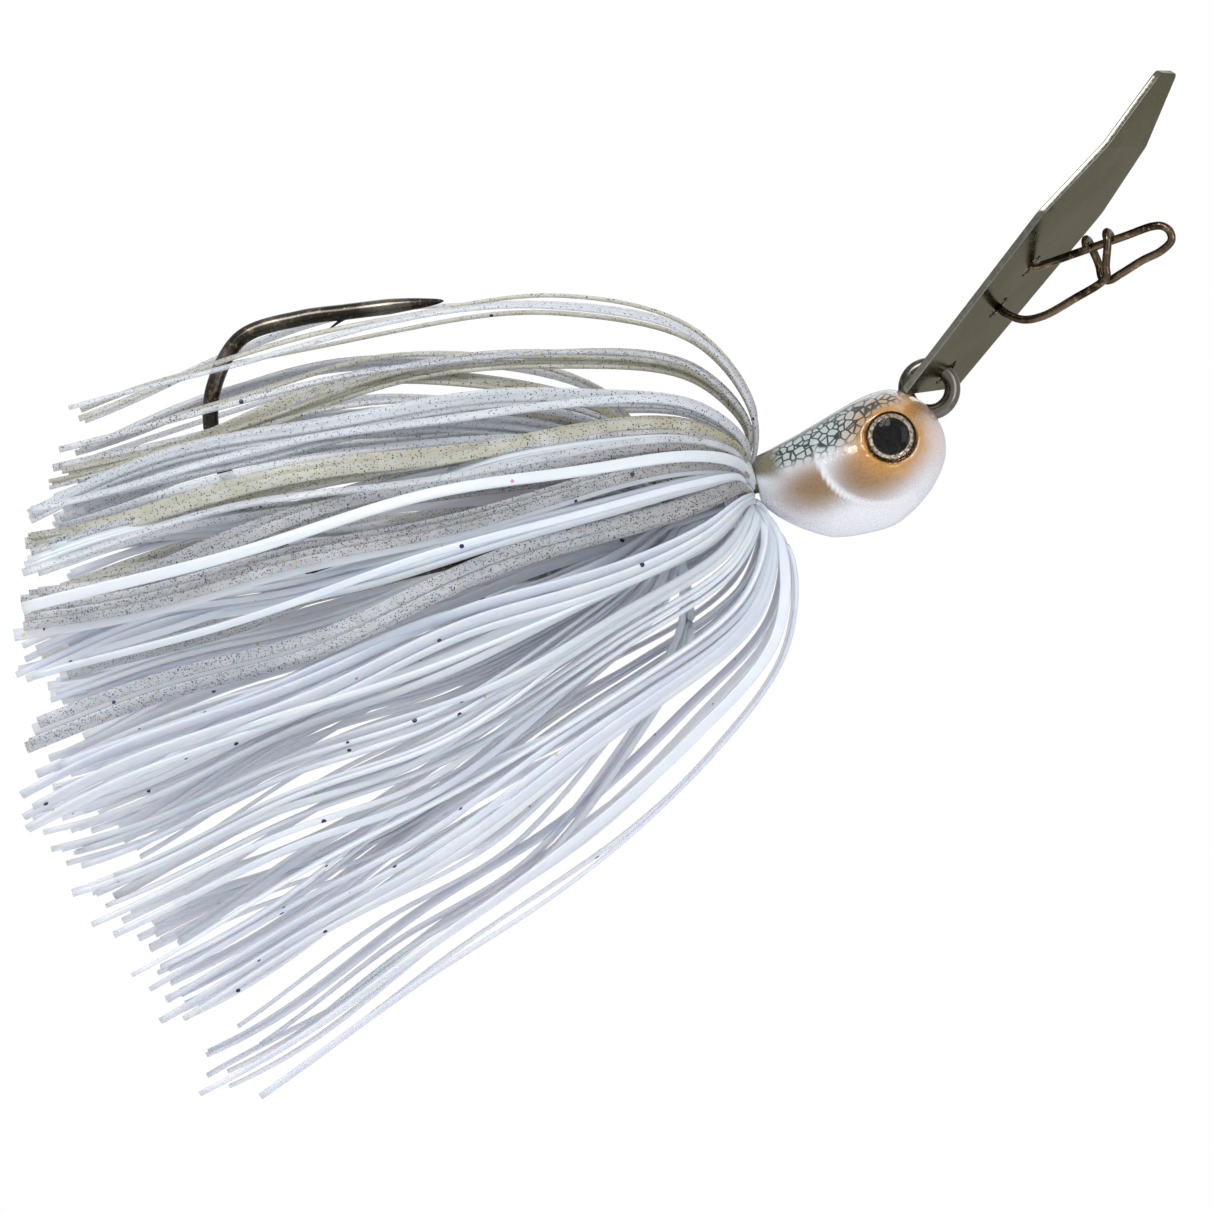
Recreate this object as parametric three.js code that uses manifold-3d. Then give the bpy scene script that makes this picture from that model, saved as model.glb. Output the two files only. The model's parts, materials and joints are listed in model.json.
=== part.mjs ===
// Bladed swim jig: a lead head cast on a hook, a silicone skirt tied on behind it,
// a hex blade that swings on the hook's eye and a wire snap that carries the line.
// Millimetres, +Z up, hook plane parallel to XZ. The origin is the line tie, inside the snap's nose.
import * as THREE from 'three';
import { mergeVertices } from 'three/addons/utils/BufferGeometryUtils.js';
import Module from 'manifold-3d';

const wasm = await Module();
wasm.setup();

// ---- driving dimensions ----
const GAP = 0.12;                 // air between pieces that touch
const PITCH = 13.8;               // degrees the shank points nose up
const HOOK_WIRE = 1.28;
const HOOK_LENGTH = 40.7;         // neck to the back of the bend
const HOOK_GAP = 21.5;            // shank to point leg
const RING_OUTER = 5.0;           // hook eye, outer diameter
const HEAD_LENGTH = 15.5;
const HEAD_HEIGHT = 10.8;
const HEAD_WIDTH = 9.6;
const NECK_END = 0.6;             // the head starts this far in front of the skirt's roots
const EYE_DIAMETER = 4.0;
const EYE_DEPTH = 0.9;            // socket depth below the widest part of the head
const FOIL_THICK = 0.3;
const DOME_HEIGHT = 0.85;
const BLADE_LENGTH = 25.4;        // lower end to the bend near the tip
const BLADE_TIP = 6.6;            // the bent-back tip
const BLADE_WIDTH = 17.5;         // widest line
const BLADE_END_WIDTH = 14.1;
const BLADE_THICK = 0.55;
const BLADE_BEND = 9;             // degrees the tip leans back
const BLADE_RISE = 51.6;          // degrees above the horizontal
const BLADE_LEAN = 16;            // degrees towards the viewer's side
const BLADE_ROLL = 12.9;          // degrees about its own length
const EYE_HOLE_RUNNING = 0.56;    // air round the hook's eye wire in the blade
const EYE_HOLE_EDGE = 0.8;        // blade metal below the eye hole
const SNAP_WIRE = 0.66;
const SNAP_SPACING = 4.26;        // between the snap's two holes
const SNAP_HOLE_RUNNING = 0.74;   // air round the snap wire in its holes
const SNAP_FROM_END = 10.95;      // blade's lower end to the middle of the two holes
const SNAP_REACH = 11.5;          // along the blade, from that middle to the snap's nose
const SNAP_STAND = 6.9;           // height of the snap's nose off the blade
const KEEPER_WIRE = 0.5;
const KEEPER_LENGTH = 22.6;
const KEEPER_BARB = 1.6;
const STRAND_WIDE = 0.55;
const STRAND_THICK = 0.42;
const SKIRT_REACH = 58;           // neck to the strand tips, straight back
const SKIRT_SPREAD = 18;          // half width of the skirt at its tips
const HOOK_CLEAR = 2.6;           // strands stay this far from the hook's plane
const INNER_STRANDS = 3;          // strands a side in the inner and the outer ring under the tie
const OUTER_STRANDS = 8;
const FRONT_TRIM = 0.45;          // how ragged the front halves' ends are, against the rear ones
const TIE_WIDE = 1.1;
const TIE_THICK = 0.4;
const TIE_BEHIND = 1.7;           // the tie's middle is this far behind the skirt's roots

const radians = THREE.MathUtils.degToRad;
const V = (x, y, z) => new THREE.Vector3(x, y, z);

// ---- solids ----
function toSolid(geometry) {
  const plain = geometry.clone();
  plain.deleteAttribute('normal');
  plain.deleteAttribute('uv');
  const merged = mergeVertices(plain, 1e-5);
  return new wasm.Manifold(new wasm.Mesh({
    numProp: 3,
    vertProperties: new Float32Array(merged.attributes.position.array),
    triVerts: new Uint32Array(merged.index.array),
  }));
}

function toGeometry(solid) {
  const mesh = solid.getMesh();
  const geometry = new THREE.BufferGeometry();
  geometry.setAttribute('position', new THREE.BufferAttribute(new Float32Array(mesh.vertProperties), 3));
  geometry.setIndex(new THREE.BufferAttribute(new Uint32Array(mesh.triVerts), 1));
  geometry.computeVertexNormals();
  return geometry;
}

// A route whose steps are shared evenly between its points, so short bends get as many as long runs.
class Route extends THREE.CatmullRomCurve3 {
  constructor(points) {
    super(points, false, 'centripetal');
  }

  getPointAt(t, target) {
    return this.getPoint(t, target);
  }

  getTangentAt(t, target) {
    return this.getTangent(t, target);
  }
}

function roundSection(diameter, sides) {
  // sides laid round the full diameter, so the flats lie a little inside it
  const shape = new THREE.Shape();
  for (let i = 0; i < sides; i += 1) {
    const angle = (i + 0.5) * 2 * Math.PI / sides;
    const x = diameter / 2 * Math.cos(angle);
    const y = diameter / 2 * Math.sin(angle);
    if (i === 0) shape.moveTo(x, y);
    else shape.lineTo(x, y);
  }
  return shape;
}

function wire(points, diameter, stepsPerSpan = 3, sides = 8) {
  const steps = (points.length - 1) * stepsPerSpan;
  return new THREE.ExtrudeGeometry(roundSection(diameter, sides), {
    steps,
    bevelEnabled: false,
    extrudePath: new Route(points),
  });
}

function finish(colour, roughness, metalness) {
  return new THREE.MeshStandardMaterial({ color: colour, roughness, metalness });
}

function addMesh(group, name, geometry, material) {
  const mesh = new THREE.Mesh(geometry, material);
  mesh.name = name;
  group.add(mesh);
  return mesh;
}

const blackNickel = finish(0x2a2320, 0.3, 1.0);
const polishedNickel = finish(0x9a9a94, 0.15, 1.0);
const snapMetal = finish(0x4a3a2c, 0.25, 1.0);
const keeperMetal = finish(0x6b6b6b, 0.35, 1.0);
const pearlPaint = finish(0xd8d2c8, 0.3, 0.1);
const eyeFoil = finish(0xb08a50, 0.3, 0.8);
const clearResin = finish(0xf4f4f4, 0.05, 0.0);
const tieThread = finish(0xf2f2f2, 0.6, 0.0);
const peppered = finish(0x9a9688, 0.45, 0.0);
const pearlWhite = finish(0xe4e6f2, 0.45, 0.0);

// ---- hook: shank, bend, point with barb, and the eye ring ----
const ringMean = (RING_OUTER - HOOK_WIRE) / 2;
const ringAlong = NECK_END + HEAD_LENGTH - 0.3;
const ringUp = HEAD_HEIGHT * 0.39;
const ringCentre = V(ringAlong, 0, ringUp);
const ringEntry = V(ringAlong - ringMean * Math.SQRT1_2, 0, ringUp - ringMean * Math.SQRT1_2);

function hookRoute() {
  const back = HOOK_LENGTH;
  const high = HOOK_GAP;
  return [
    V(back * -0.985, 0, high * 0.43),
    V(back * -0.948, 0, high * 0.265),
    V(back * -0.885, 0, high * 0.112),
    V(back * -0.79, 0, 0.25),
    V(back * -0.7, 0, 0),
    V(back * -0.35, 0, 0),
    V(0, 0, 0),
    V(ringEntry.x * 0.55, 0, 0),
    V(ringEntry.x * 0.78, 0, ringEntry.z * 0.16),
    V(ringEntry.x * 0.93, 0, ringEntry.z * 0.56),
    ringEntry,
  ];
}

function bendRoute() {
  const back = HOOK_LENGTH;
  const high = HOOK_GAP;
  return [
    V(back * -0.565, 0, high * 0.963),
    V(back * -0.688, 0, high * 0.991),
    V(back * -0.779, 0, high * 1.009),
    V(back * -0.902, 0, high * 0.99),
    V(back * -0.975, 0, high * 0.842),
    V(back * -1.0, 0, high * 0.702),
    V(back * -0.998, 0, high * 0.56),
    V(back * -0.985, 0, high * 0.43),
    V(back * -0.966, 0, high * 0.34),
  ];
}

function hookPoint() {
  // the ground point: a slim cone carried on from the end of the point leg
  const length = HOOK_WIRE * 2.2;
  const cone = new THREE.ConeGeometry(HOOK_WIRE / 2, length, 10);
  cone.rotateZ(-Math.PI / 2);
  cone.rotateY(radians(6));
  cone.translate(HOOK_LENGTH * -0.565 + length / 2 - 0.15, 0, HOOK_GAP * 0.963 - 0.16);
  return cone;
}

function hookBarb() {
  const height = HOOK_WIRE * 1.1;
  const barb = new THREE.ConeGeometry(HOOK_WIRE * 0.28, height * 2, 6);
  barb.rotateZ(radians(105));
  barb.rotateY(radians(-28));
  barb.translate(HOOK_LENGTH * -0.75, 0, HOOK_GAP * 1.0 - height * 0.72);
  return barb;
}

function hookGeometry() {
  const ring = new THREE.TorusGeometry(ringMean, HOOK_WIRE / 2, 10, 28);
  ring.rotateX(Math.PI / 2);
  ring.translate(ringCentre.x, 0, ringCentre.z);
  return toGeometry(toSolid(wire(hookRoute(), HOOK_WIRE, 2, 10))
    .add(toSolid(wire(bendRoute(), HOOK_WIRE, 2, 10)))
    .add(toSolid(hookPoint()))
    .add(toSolid(hookBarb()))
    .add(toSolid(ring)));
}

// ---- head: rings along the shank, each with its own top, bottom and half width ----
// [share of the length, top, bottom as shares of the height, half width as a share of the width]
const HEAD_RINGS = [
  [0.0, 0.2, -0.15, 0.18],
  [0.07, 0.225, -0.27, 0.24],
  [0.17, 0.26, -0.39, 0.32],
  [0.32, 0.32, -0.51, 0.41],
  [0.48, 0.39, -0.54, 0.47],
  [0.64, 0.45, -0.53, 0.5],
  [0.77, 0.458, -0.445, 0.48],
  [0.865, 0.395, -0.343, 0.41],
  [0.942, 0.287, -0.218, 0.3],
  [0.98, 0.185, -0.12, 0.2],
  [0.996, 0.09, -0.03, 0.09],
];
const HEAD_SIDES = 28;

function headBlank() {
  const lowest = new THREE.Vector2(0, 0);
  const highest = new THREE.Vector2(0, HEAD_LENGTH);
  const profile = [lowest, ...HEAD_RINGS.map((row) => new THREE.Vector2(1, row[0] * HEAD_LENGTH)), highest];
  const blank = new THREE.LatheGeometry(profile, HEAD_SIDES);
  const place = blank.attributes.position;
  const rows = [HEAD_RINGS[0], ...HEAD_RINGS, HEAD_RINGS[HEAD_RINGS.length - 1]];
  for (let i = 0; i < place.count; i += 1) {
    const row = rows[i % rows.length];
    const middle = (row[1] + row[2]) / 2 * HEAD_HEIGHT;
    const tall = (row[1] - row[2]) / 2 * HEAD_HEIGHT;
    const wide = row[3] * HEAD_WIDTH;
    const across = -place.getX(i) * wide;
    const up = middle + place.getZ(i) * tall;
    place.setXYZ(i, NECK_END + place.getY(i), across, up);
  }
  return blank;
}

const eyeAlong = NECK_END + HEAD_LENGTH * 0.716;
const eyeUp = HEAD_HEIGHT * 0.109;
const eyeFloor = HEAD_WIDTH / 2 - EYE_DEPTH;
const SIDES_OF_HEAD = [['left', 1], ['right', -1]];

function disc(radius, depth, side, floor, segments) {
  const round = new THREE.CylinderGeometry(radius, radius, depth, segments);
  round.translate(eyeAlong, side * (floor + depth / 2), eyeUp);
  return round;
}

function headGeometry() {
  const hookRoom = toSolid(wire(hookRoute(), HOOK_WIRE + 2 * GAP, 2, 10));
  const ringRoom = new THREE.CylinderGeometry(RING_OUTER / 2 + GAP, RING_OUTER / 2 + GAP, HOOK_WIRE + 2 * GAP, 28);
  ringRoom.translate(ringCentre.x, 0, ringCentre.z);
  let solid = toSolid(headBlank()).subtract(hookRoom).subtract(toSolid(ringRoom));
  for (const [, side] of SIDES_OF_HEAD) {
    solid = solid.subtract(toSolid(disc(EYE_DIAMETER / 2 + GAP, 3 * EYE_DEPTH, side, eyeFloor, 24)));
  }
  return toGeometry(solid);
}

// ---- eyes: a printed foil at the bottom of the socket under a clear dome ----
function foilGeometry(side) {
  return disc(EYE_DIAMETER / 2, FOIL_THICK, side, eyeFloor + GAP, 24);
}

function domeGeometry(side) {
  const rings = 5;
  const radius = EYE_DIAMETER / 2;
  const profile = [new THREE.Vector2(0, 0), new THREE.Vector2(radius, 0)];
  for (let i = 0; i <= rings; i += 1) {
    const angle = i / rings * Math.PI / 2;
    profile.push(new THREE.Vector2(radius * Math.cos(angle), 0.25 + (DOME_HEIGHT - 0.25) * Math.sin(angle)));
  }
  profile[profile.length - 1].x = 0;
  const dome = new THREE.LatheGeometry(profile, 24);
  if (side < 0) dome.rotateX(Math.PI);
  dome.translate(eyeAlong, side * (eyeFloor + FOIL_THICK + 2 * GAP), eyeUp);
  return dome;
}

// ---- trailer keeper: two light wires cast into the neck, each with a turned-back barb ----
function keeperGeometry(up) {
  const lie = HOOK_WIRE / 2 + KEEPER_WIRE / 2 + GAP;
  const spread = up > 0 ? 0.25 : 1.9;
  return wire([
    V(-0.1, 0, up * lie),
    V(-4.5, 0, up * lie),
    V(KEEPER_LENGTH * -0.48, 0, up * (lie + 0.6)),
    V(KEEPER_LENGTH * -0.8, 0, up * (lie + spread)),
    V(-KEEPER_LENGTH, 0, up * (lie + spread)),
    V(-KEEPER_LENGTH - 0.35, 0, up * (lie + spread + KEEPER_BARB * 0.4)),
    V(-KEEPER_LENGTH + 0.1, 0, up * (lie + spread + KEEPER_BARB * 0.8)),
    V(-KEEPER_LENGTH + 1.5, 0, up * (lie + spread + KEEPER_BARB)),
  ], KEEPER_WIRE, 2, 6);
}

// ---- skirt: strands held at their middle; the front halves fold back over the rear ones ----
const strandDiagonal = Math.hypot(STRAND_WIDE, STRAND_THICK);
const innerRing = HOOK_WIRE / 2 + KEEPER_WIRE / 2 + strandDiagonal / 2 + 0.1;
const outerRing = innerRing + strandDiagonal + 0.05;
const tieInner = outerRing + strandDiagonal / 2 + GAP;
const pitchBack = radians(PITCH);

// Five guides from the top of the skirt to its bottom, each through six stations from root to tip,
// as [back, up] in shares of the reach, seen from the side.
const GUIDES = [
  [[0.01, 0.107], [-0.069, 0.23], [-0.262, 0.288], [-0.497, 0.27], [-0.717, 0.209], [-0.928, 0.13]],
  [[-0.007, 0.066], [-0.083, 0.128], [-0.262, 0.141], [-0.483, 0.121], [-0.731, 0.072], [-0.972, -0.003]],
  [[-0.021, 0.031], [-0.097, 0.038], [-0.29, 0.003], [-0.51, -0.045], [-0.745, -0.1], [-0.99, -0.169]],
  [[-0.007, -0.045], [-0.05, -0.112], [-0.225, -0.215], [-0.45, -0.32], [-0.71, -0.43], [-0.975, -0.545]],
  [[0.062, -0.1], [0.066, -0.249], [-0.034, -0.414], [-0.238, -0.606], [-0.439, -0.767], [-0.668, -0.937]],
];
const SPREAD_SHARE = [0.3, 0.5, 0.72, 0.86, 0.94, 1.0];
const CLEAR_SHARE = [0.35, 0.7, 1.0, 1.0, 1.0, 1.0];

function station(index, down, layer, side) {
  // down runs from 0 at the skirt's top to 1 at its bottom, layer from 0 at its core to 1 outside
  const place = Math.min(down * 4, 3.9999);
  const row = Math.floor(place);
  const share = place - row;
  const upper = GUIDES[row][index];
  const lower = GUIDES[row + 1][index];
  const core = GUIDES[2][index];
  const x = upper[0] + (lower[0] - upper[0]) * share;
  const z = upper[1] + (lower[1] - upper[1]) * share;
  const y = HOOK_CLEAR * CLEAR_SHARE[index] + SKIRT_SPREAD * SPREAD_SHARE[index] * layer * Math.sin(Math.PI * down);
  return V(
    SKIRT_REACH * (core[0] + (x - core[0]) * layer),
    side * y,
    SKIRT_REACH * (core[1] + (z - core[1]) * layer),
  );
}

function rootPoint(along, radius, angle, side) {
  // a point round the shank, angle measured from its top
  const up = radius * Math.cos(angle);
  return V(
    along * Math.cos(pitchBack) - up * Math.sin(pitchBack),
    side * radius * Math.sin(angle),
    along * Math.sin(pitchBack) + up * Math.cos(pitchBack),
  );
}

function strandRoute({ ring, angle, down, side, frontLayer, rearLayer, turn, trim }) {
  // the rear half comes in from its tip, opens out of the tie, and turns back into the front half
  const points = [];
  for (let i = 5; i >= 3; i -= 1) points.push(station(i, down, rearLayer, side));
  points[0].lerp(points[1], trim);
  const flare = rootPoint(-TIE_BEHIND - 4.3, ring * 1.2, angle, side);
  points.push(station(2, down, rearLayer, side).lerp(flare, 0.4));
  points.push(flare);
  points.push(rootPoint(-TIE_BEHIND - 1.5, ring, angle, side));
  points.push(rootPoint(-TIE_BEHIND, ring, angle, side));
  points.push(rootPoint(turn, ring, angle, side));
  for (let i = 0; i < 6; i += 1) points.push(station(i, down, frontLayer, side));
  points[points.length - 1].lerp(points[points.length - 2], (0.25 - trim) * FRONT_TRIM);
  return points;
}

function strandGeometry(points) {
  const section = new THREE.Shape();
  section.moveTo(-STRAND_WIDE / 2, -STRAND_THICK / 2);
  section.lineTo(STRAND_WIDE / 2, -STRAND_THICK / 2);
  section.lineTo(STRAND_WIDE / 2, STRAND_THICK / 2);
  section.lineTo(-STRAND_WIDE / 2, STRAND_THICK / 2);
  section.closePath();
  return new THREE.ExtrudeGeometry(section, {
    steps: (points.length - 1) * 2,
    bevelEnabled: false,
    extrudePath: new Route(points),
  });
}

function addStrands(group) {
  let number = 0;
  const rings = [
    { count: INNER_STRANDS, ring: innerRing, frontLayer: 1.0, rearLayer: 0.56, turn: 0.0, edge: 0.07 },
    { count: OUTER_STRANDS, ring: outerRing, frontLayer: 0.9, rearLayer: 0.72, turn: -0.8, edge: 0.0 },
  ];
  for (const side of [-1, 1]) {
    for (const { count, edge, ...layer } of rings) {
      for (let i = 0; i < count; i += 1) {
        number += 1;
        const angle = Math.PI * (i + 0.5) / count;
        const down = edge + (1 - 2 * edge) * i / (count - 1);
        const trim = (number * 7 % 11) / 44;
        const points = strandRoute({ ...layer, angle, down, side, trim });
        const name = `skirt_strand_${String(number).padStart(2, '0')}`;
        addMesh(group, name, strandGeometry(points), down < 0.55 ? peppered : pearlWhite);
      }
    }
  }
}

function tieGeometry() {
  const outer = tieInner + TIE_THICK;
  const rear = -TIE_BEHIND - TIE_WIDE / 2;
  const front = rear + TIE_WIDE;
  const bulge = TIE_THICK * 0.3;
  const ring = new THREE.LatheGeometry([
    new THREE.Vector2(tieInner, rear),
    new THREE.Vector2(outer - bulge, rear),
    new THREE.Vector2(outer, (rear + front) / 2),
    new THREE.Vector2(outer - bulge, front),
    new THREE.Vector2(tieInner, front),
    new THREE.Vector2(tieInner, rear),
  ], 24);
  ring.rotateZ(-Math.PI / 2);
  return ring;
}

// ---- blade: a six-sided plate with a bent-back tip, in its own frame (across, along, out of its face) ----
const eyeHoleRadius = HOOK_WIRE / 2 + EYE_HOLE_RUNNING;
const eyeHoleUp = EYE_HOLE_EDGE + eyeHoleRadius;
const snapHoleRadius = SNAP_WIRE / 2 + SNAP_HOLE_RUNNING;

function plate(outline, holes) {
  const shape = new THREE.Shape(outline.map(([x, y]) => new THREE.Vector2(x, y)));
  for (const [along, radius] of holes) {
    const hole = new THREE.Path();
    hole.absarc(0, along, radius, 0, 2 * Math.PI, true);
    shape.holes.push(hole);
  }
  const flat = new THREE.ExtrudeGeometry(shape, { depth: BLADE_THICK, bevelEnabled: false, curveSegments: 10 });
  flat.translate(0, 0, -BLADE_THICK / 2);
  return flat;
}

function bladeGeometry() {
  const end = BLADE_END_WIDTH / 2;
  const wide = BLADE_WIDTH / 2;
  const shoulder = BLADE_WIDTH * 0.331;
  const tip = BLADE_WIDTH * 0.137;
  const widest = BLADE_LENGTH * 0.724;
  const corner = 1.2;
  const main = plate([
    [-end + corner, 0], [end - corner, 0], [end - corner * 0.3, corner * 0.35], [end, corner],
    [wide, widest], [shoulder, BLADE_LENGTH], [-shoulder, BLADE_LENGTH], [-wide, widest],
    [-end, corner], [-end + corner * 0.3, corner * 0.35],
  ], [
    [eyeHoleUp, eyeHoleRadius],
    [SNAP_FROM_END - SNAP_SPACING / 2, snapHoleRadius],
    [SNAP_FROM_END + SNAP_SPACING / 2, snapHoleRadius],
  ]);
  const lap = 0.04;
  const bent = plate([
    [-shoulder, -lap], [shoulder, -lap], [tip, BLADE_TIP - 0.4], [tip - 0.5, BLADE_TIP],
    [-tip + 0.5, BLADE_TIP], [-tip, BLADE_TIP - 0.4],
  ], []);
  bent.rotateX(radians(-BLADE_BEND));
  bent.translate(0, BLADE_LENGTH, 0);
  return toGeometry(toSolid(main).add(toSolid(bent)));
}

// ---- snap: one wire through both holes, its two ends hooked over the opposite leg ----
const hookOver = SNAP_WIRE + GAP;
const noseLow = V(0, SNAP_REACH - 0.55, SNAP_STAND - 1.0);
const legStart = V(0, SNAP_SPACING / 2 + 0.9, 1.05);
const legWay = legStart.clone().sub(noseLow).normalize();
const legOut = V(0, -legWay.z, legWay.y);

function onLeg(distance, out, across) {
  return noseLow.clone().addScaledVector(legWay, distance).addScaledVector(legOut, out).add(V(across, 0, 0));
}

function overLeg(distance, from) {
  // half a turn round the leg, starting at the side given by from
  const turn = [];
  for (let i = 0; i <= 4; i += 1) {
    const angle = i * Math.PI / 4;
    turn.push(onLeg(distance, hookOver * Math.sin(angle), from * hookOver * Math.cos(angle)));
  }
  return turn;
}

function snapGeometry() {
  const half = SNAP_SPACING / 2;
  const nose = SNAP_REACH;
  const stand = SNAP_STAND;
  const beside = SNAP_WIRE / 2 + GAP * 0.8;
  const front = overLeg(5.5, -1);
  const rear = overLeg(3.7, -1);
  return wire([
    ...front,
    V(hookOver, nose * 0.49, stand * 0.62),
    V(beside + 0.15, nose * 0.435, stand * 0.765),
    V(beside, nose * 0.46, stand * 0.84),
    V(beside, nose * 0.55, stand * 0.9),
    V(beside * 0.7, nose * 0.72, stand * 1.0),
    V(0, nose * 0.86, stand + 0.75),
    V(0, nose - 0.45, stand + 0.85),
    V(0, nose, stand + 0.3),
    V(0, nose - 0.05, stand - 0.4),
    noseLow,
    onLeg(2.4, 0, 0),
    onLeg(4.8, 0, 0),
    onLeg(7.2, 0, 0),
    legStart,
    V(0, half + 0.15, 0.5),
    V(0, half, 0),
    V(0, half - 0.05, -0.6),
    V(0, half - 0.5, -1.15),
    V(0, 0, -1.25),
    V(0, -half + 0.5, -1.15),
    V(0, -half + 0.05, -0.6),
    V(0, -half, 0),
    V(0, -half + 0.05, 1.2),
    V(-0.1, -half + 0.6, 2.5),
    V(-0.25, -half + 1.9, stand * 0.52),
    V(-beside, nose * 0.23, stand * 0.69),
    V(-beside, nose * 0.42, stand * 0.805),
    V(-beside - 0.05, nose * 0.485, stand * 0.81),
    V(-beside - 0.2, nose * 0.535, stand * 0.74),
    ...rear,
  ], SNAP_WIRE, 2, 8);
}

// ---- placing: the jig about the neck, the blade on the hook's eye, the snap in the blade ----
const rise = radians(BLADE_RISE);
const lean = radians(BLADE_LEAN);
const roll = radians(BLADE_ROLL);
const along = V(Math.cos(lean) * Math.cos(rise), -Math.sin(lean), Math.cos(lean) * Math.sin(rise));
const levelAcross = V(0, 1, 0).projectOnPlane(along).normalize();
const levelFace = levelAcross.clone().cross(along);
const across = levelAcross.multiplyScalar(Math.cos(roll)).addScaledVector(levelFace, Math.sin(roll));
const face = across.clone().cross(along);
const bladeTurn = new THREE.Quaternion().setFromRotationMatrix(new THREE.Matrix4().makeBasis(across, along, face));

const ringPlace = ringCentre.clone().applyAxisAngle(V(0, 1, 0), -pitchBack);
const eyeHolePlace = ringPlace.clone().addScaledVector(V(Math.cos(rise), 0, Math.sin(rise)), ringMean);
const bladePlace = eyeHolePlace.clone().addScaledVector(along, -eyeHoleUp);
const snapPlace = bladePlace.clone().addScaledVector(along, SNAP_FROM_END);
const lineTie = snapPlace.clone().addScaledVector(along, SNAP_REACH - 0.5).addScaledVector(face, SNAP_STAND - 0.1);

const lure = new THREE.Group();
lure.position.copy(lineTie).negate();

const pitched = new THREE.Group();
pitched.rotation.y = -pitchBack;
lure.add(pitched);
addMesh(pitched, 'hook', hookGeometry(), blackNickel);
addMesh(pitched, 'head', headGeometry(), pearlPaint);
for (const [word, side] of SIDES_OF_HEAD) {
  addMesh(pitched, `eye_foil_${word}`, foilGeometry(side), eyeFoil);
  addMesh(pitched, `eye_dome_${word}`, domeGeometry(side), clearResin);
}
addMesh(pitched, 'keeper_wire_upper', keeperGeometry(1), keeperMetal);
addMesh(pitched, 'keeper_wire_lower', keeperGeometry(-1), keeperMetal);
addMesh(pitched, 'skirt_tie', tieGeometry(), tieThread);
addStrands(lure);

const blade = addMesh(lure, 'blade', bladeGeometry(), polishedNickel);
blade.position.copy(bladePlace);
blade.quaternion.copy(bladeTurn);

const snap = addMesh(lure, 'snap', snapGeometry(), snapMetal);
snap.position.copy(snapPlace);
snap.quaternion.copy(bladeTurn);

export default lure;
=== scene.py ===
import json
import math

import bpy
import numpy as np
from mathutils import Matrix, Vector
from mathutils.geometry import delaunay_2d_cdt


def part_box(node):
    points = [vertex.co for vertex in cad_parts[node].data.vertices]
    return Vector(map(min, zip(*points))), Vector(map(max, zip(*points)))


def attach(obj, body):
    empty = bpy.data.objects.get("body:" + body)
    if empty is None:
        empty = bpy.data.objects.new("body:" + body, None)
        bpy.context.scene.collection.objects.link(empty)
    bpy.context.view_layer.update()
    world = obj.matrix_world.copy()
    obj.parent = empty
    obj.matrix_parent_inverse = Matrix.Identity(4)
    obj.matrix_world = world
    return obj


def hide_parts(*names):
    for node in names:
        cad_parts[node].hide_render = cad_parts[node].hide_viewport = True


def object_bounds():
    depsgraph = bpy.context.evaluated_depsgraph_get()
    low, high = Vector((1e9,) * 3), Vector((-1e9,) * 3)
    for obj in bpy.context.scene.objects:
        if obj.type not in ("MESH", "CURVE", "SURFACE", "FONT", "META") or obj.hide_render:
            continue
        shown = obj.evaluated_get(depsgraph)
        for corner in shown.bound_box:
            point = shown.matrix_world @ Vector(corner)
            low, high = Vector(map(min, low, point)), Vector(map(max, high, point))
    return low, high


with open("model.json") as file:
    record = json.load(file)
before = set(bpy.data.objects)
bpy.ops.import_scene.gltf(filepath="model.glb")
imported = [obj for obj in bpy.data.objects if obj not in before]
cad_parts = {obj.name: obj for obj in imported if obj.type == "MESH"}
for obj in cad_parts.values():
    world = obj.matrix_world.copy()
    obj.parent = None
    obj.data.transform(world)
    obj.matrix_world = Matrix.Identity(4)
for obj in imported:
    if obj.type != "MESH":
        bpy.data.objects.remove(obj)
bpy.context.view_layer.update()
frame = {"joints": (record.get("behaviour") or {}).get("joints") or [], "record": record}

# ---- measures, in millimetres ----
MM = 0.001
PITCH = math.radians(13.8)  # how far the shank's front stands above its rear

# hook and its eye ring
HOOK_WIRE = 1.28
HOOK_LENGTH = 40.7
HOOK_GAP = 21.5
HOOK_POINT = 4.5           # how much of the wire's end is ground to the point
RING_OUTER = 5.0
RING_BACK = 0.3            # the eye ring's middle behind the nose
RING_UP = 0.39             # and above the shank, as a share of the head's height

# head and eyes
HEAD_LENGTH = 15.5
HEAD_HEIGHT = 10.8
HEAD_WIDTH = 9.6
NECK_END = 0.6             # the head's rear end, ahead of the collar
EYE_PLACE = (NECK_END + HEAD_LENGTH * 0.716, HEAD_HEIGHT * 0.109)
EYE_RADIUS = 2.0
EYE_DEPTH = 0.9
FOIL_THICK = 0.3
DOME_HEIGHT = 0.85
DOME_WALL = 0.2            # the straight wall under the dome's cap
GILL_PLACE = (10.7, 0.9)   # the middle of the circle that the gill cover's edge follows
GILL_RADIUS = 5.05
GAP = 0.12                 # clearance between neighbouring pieces

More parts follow.
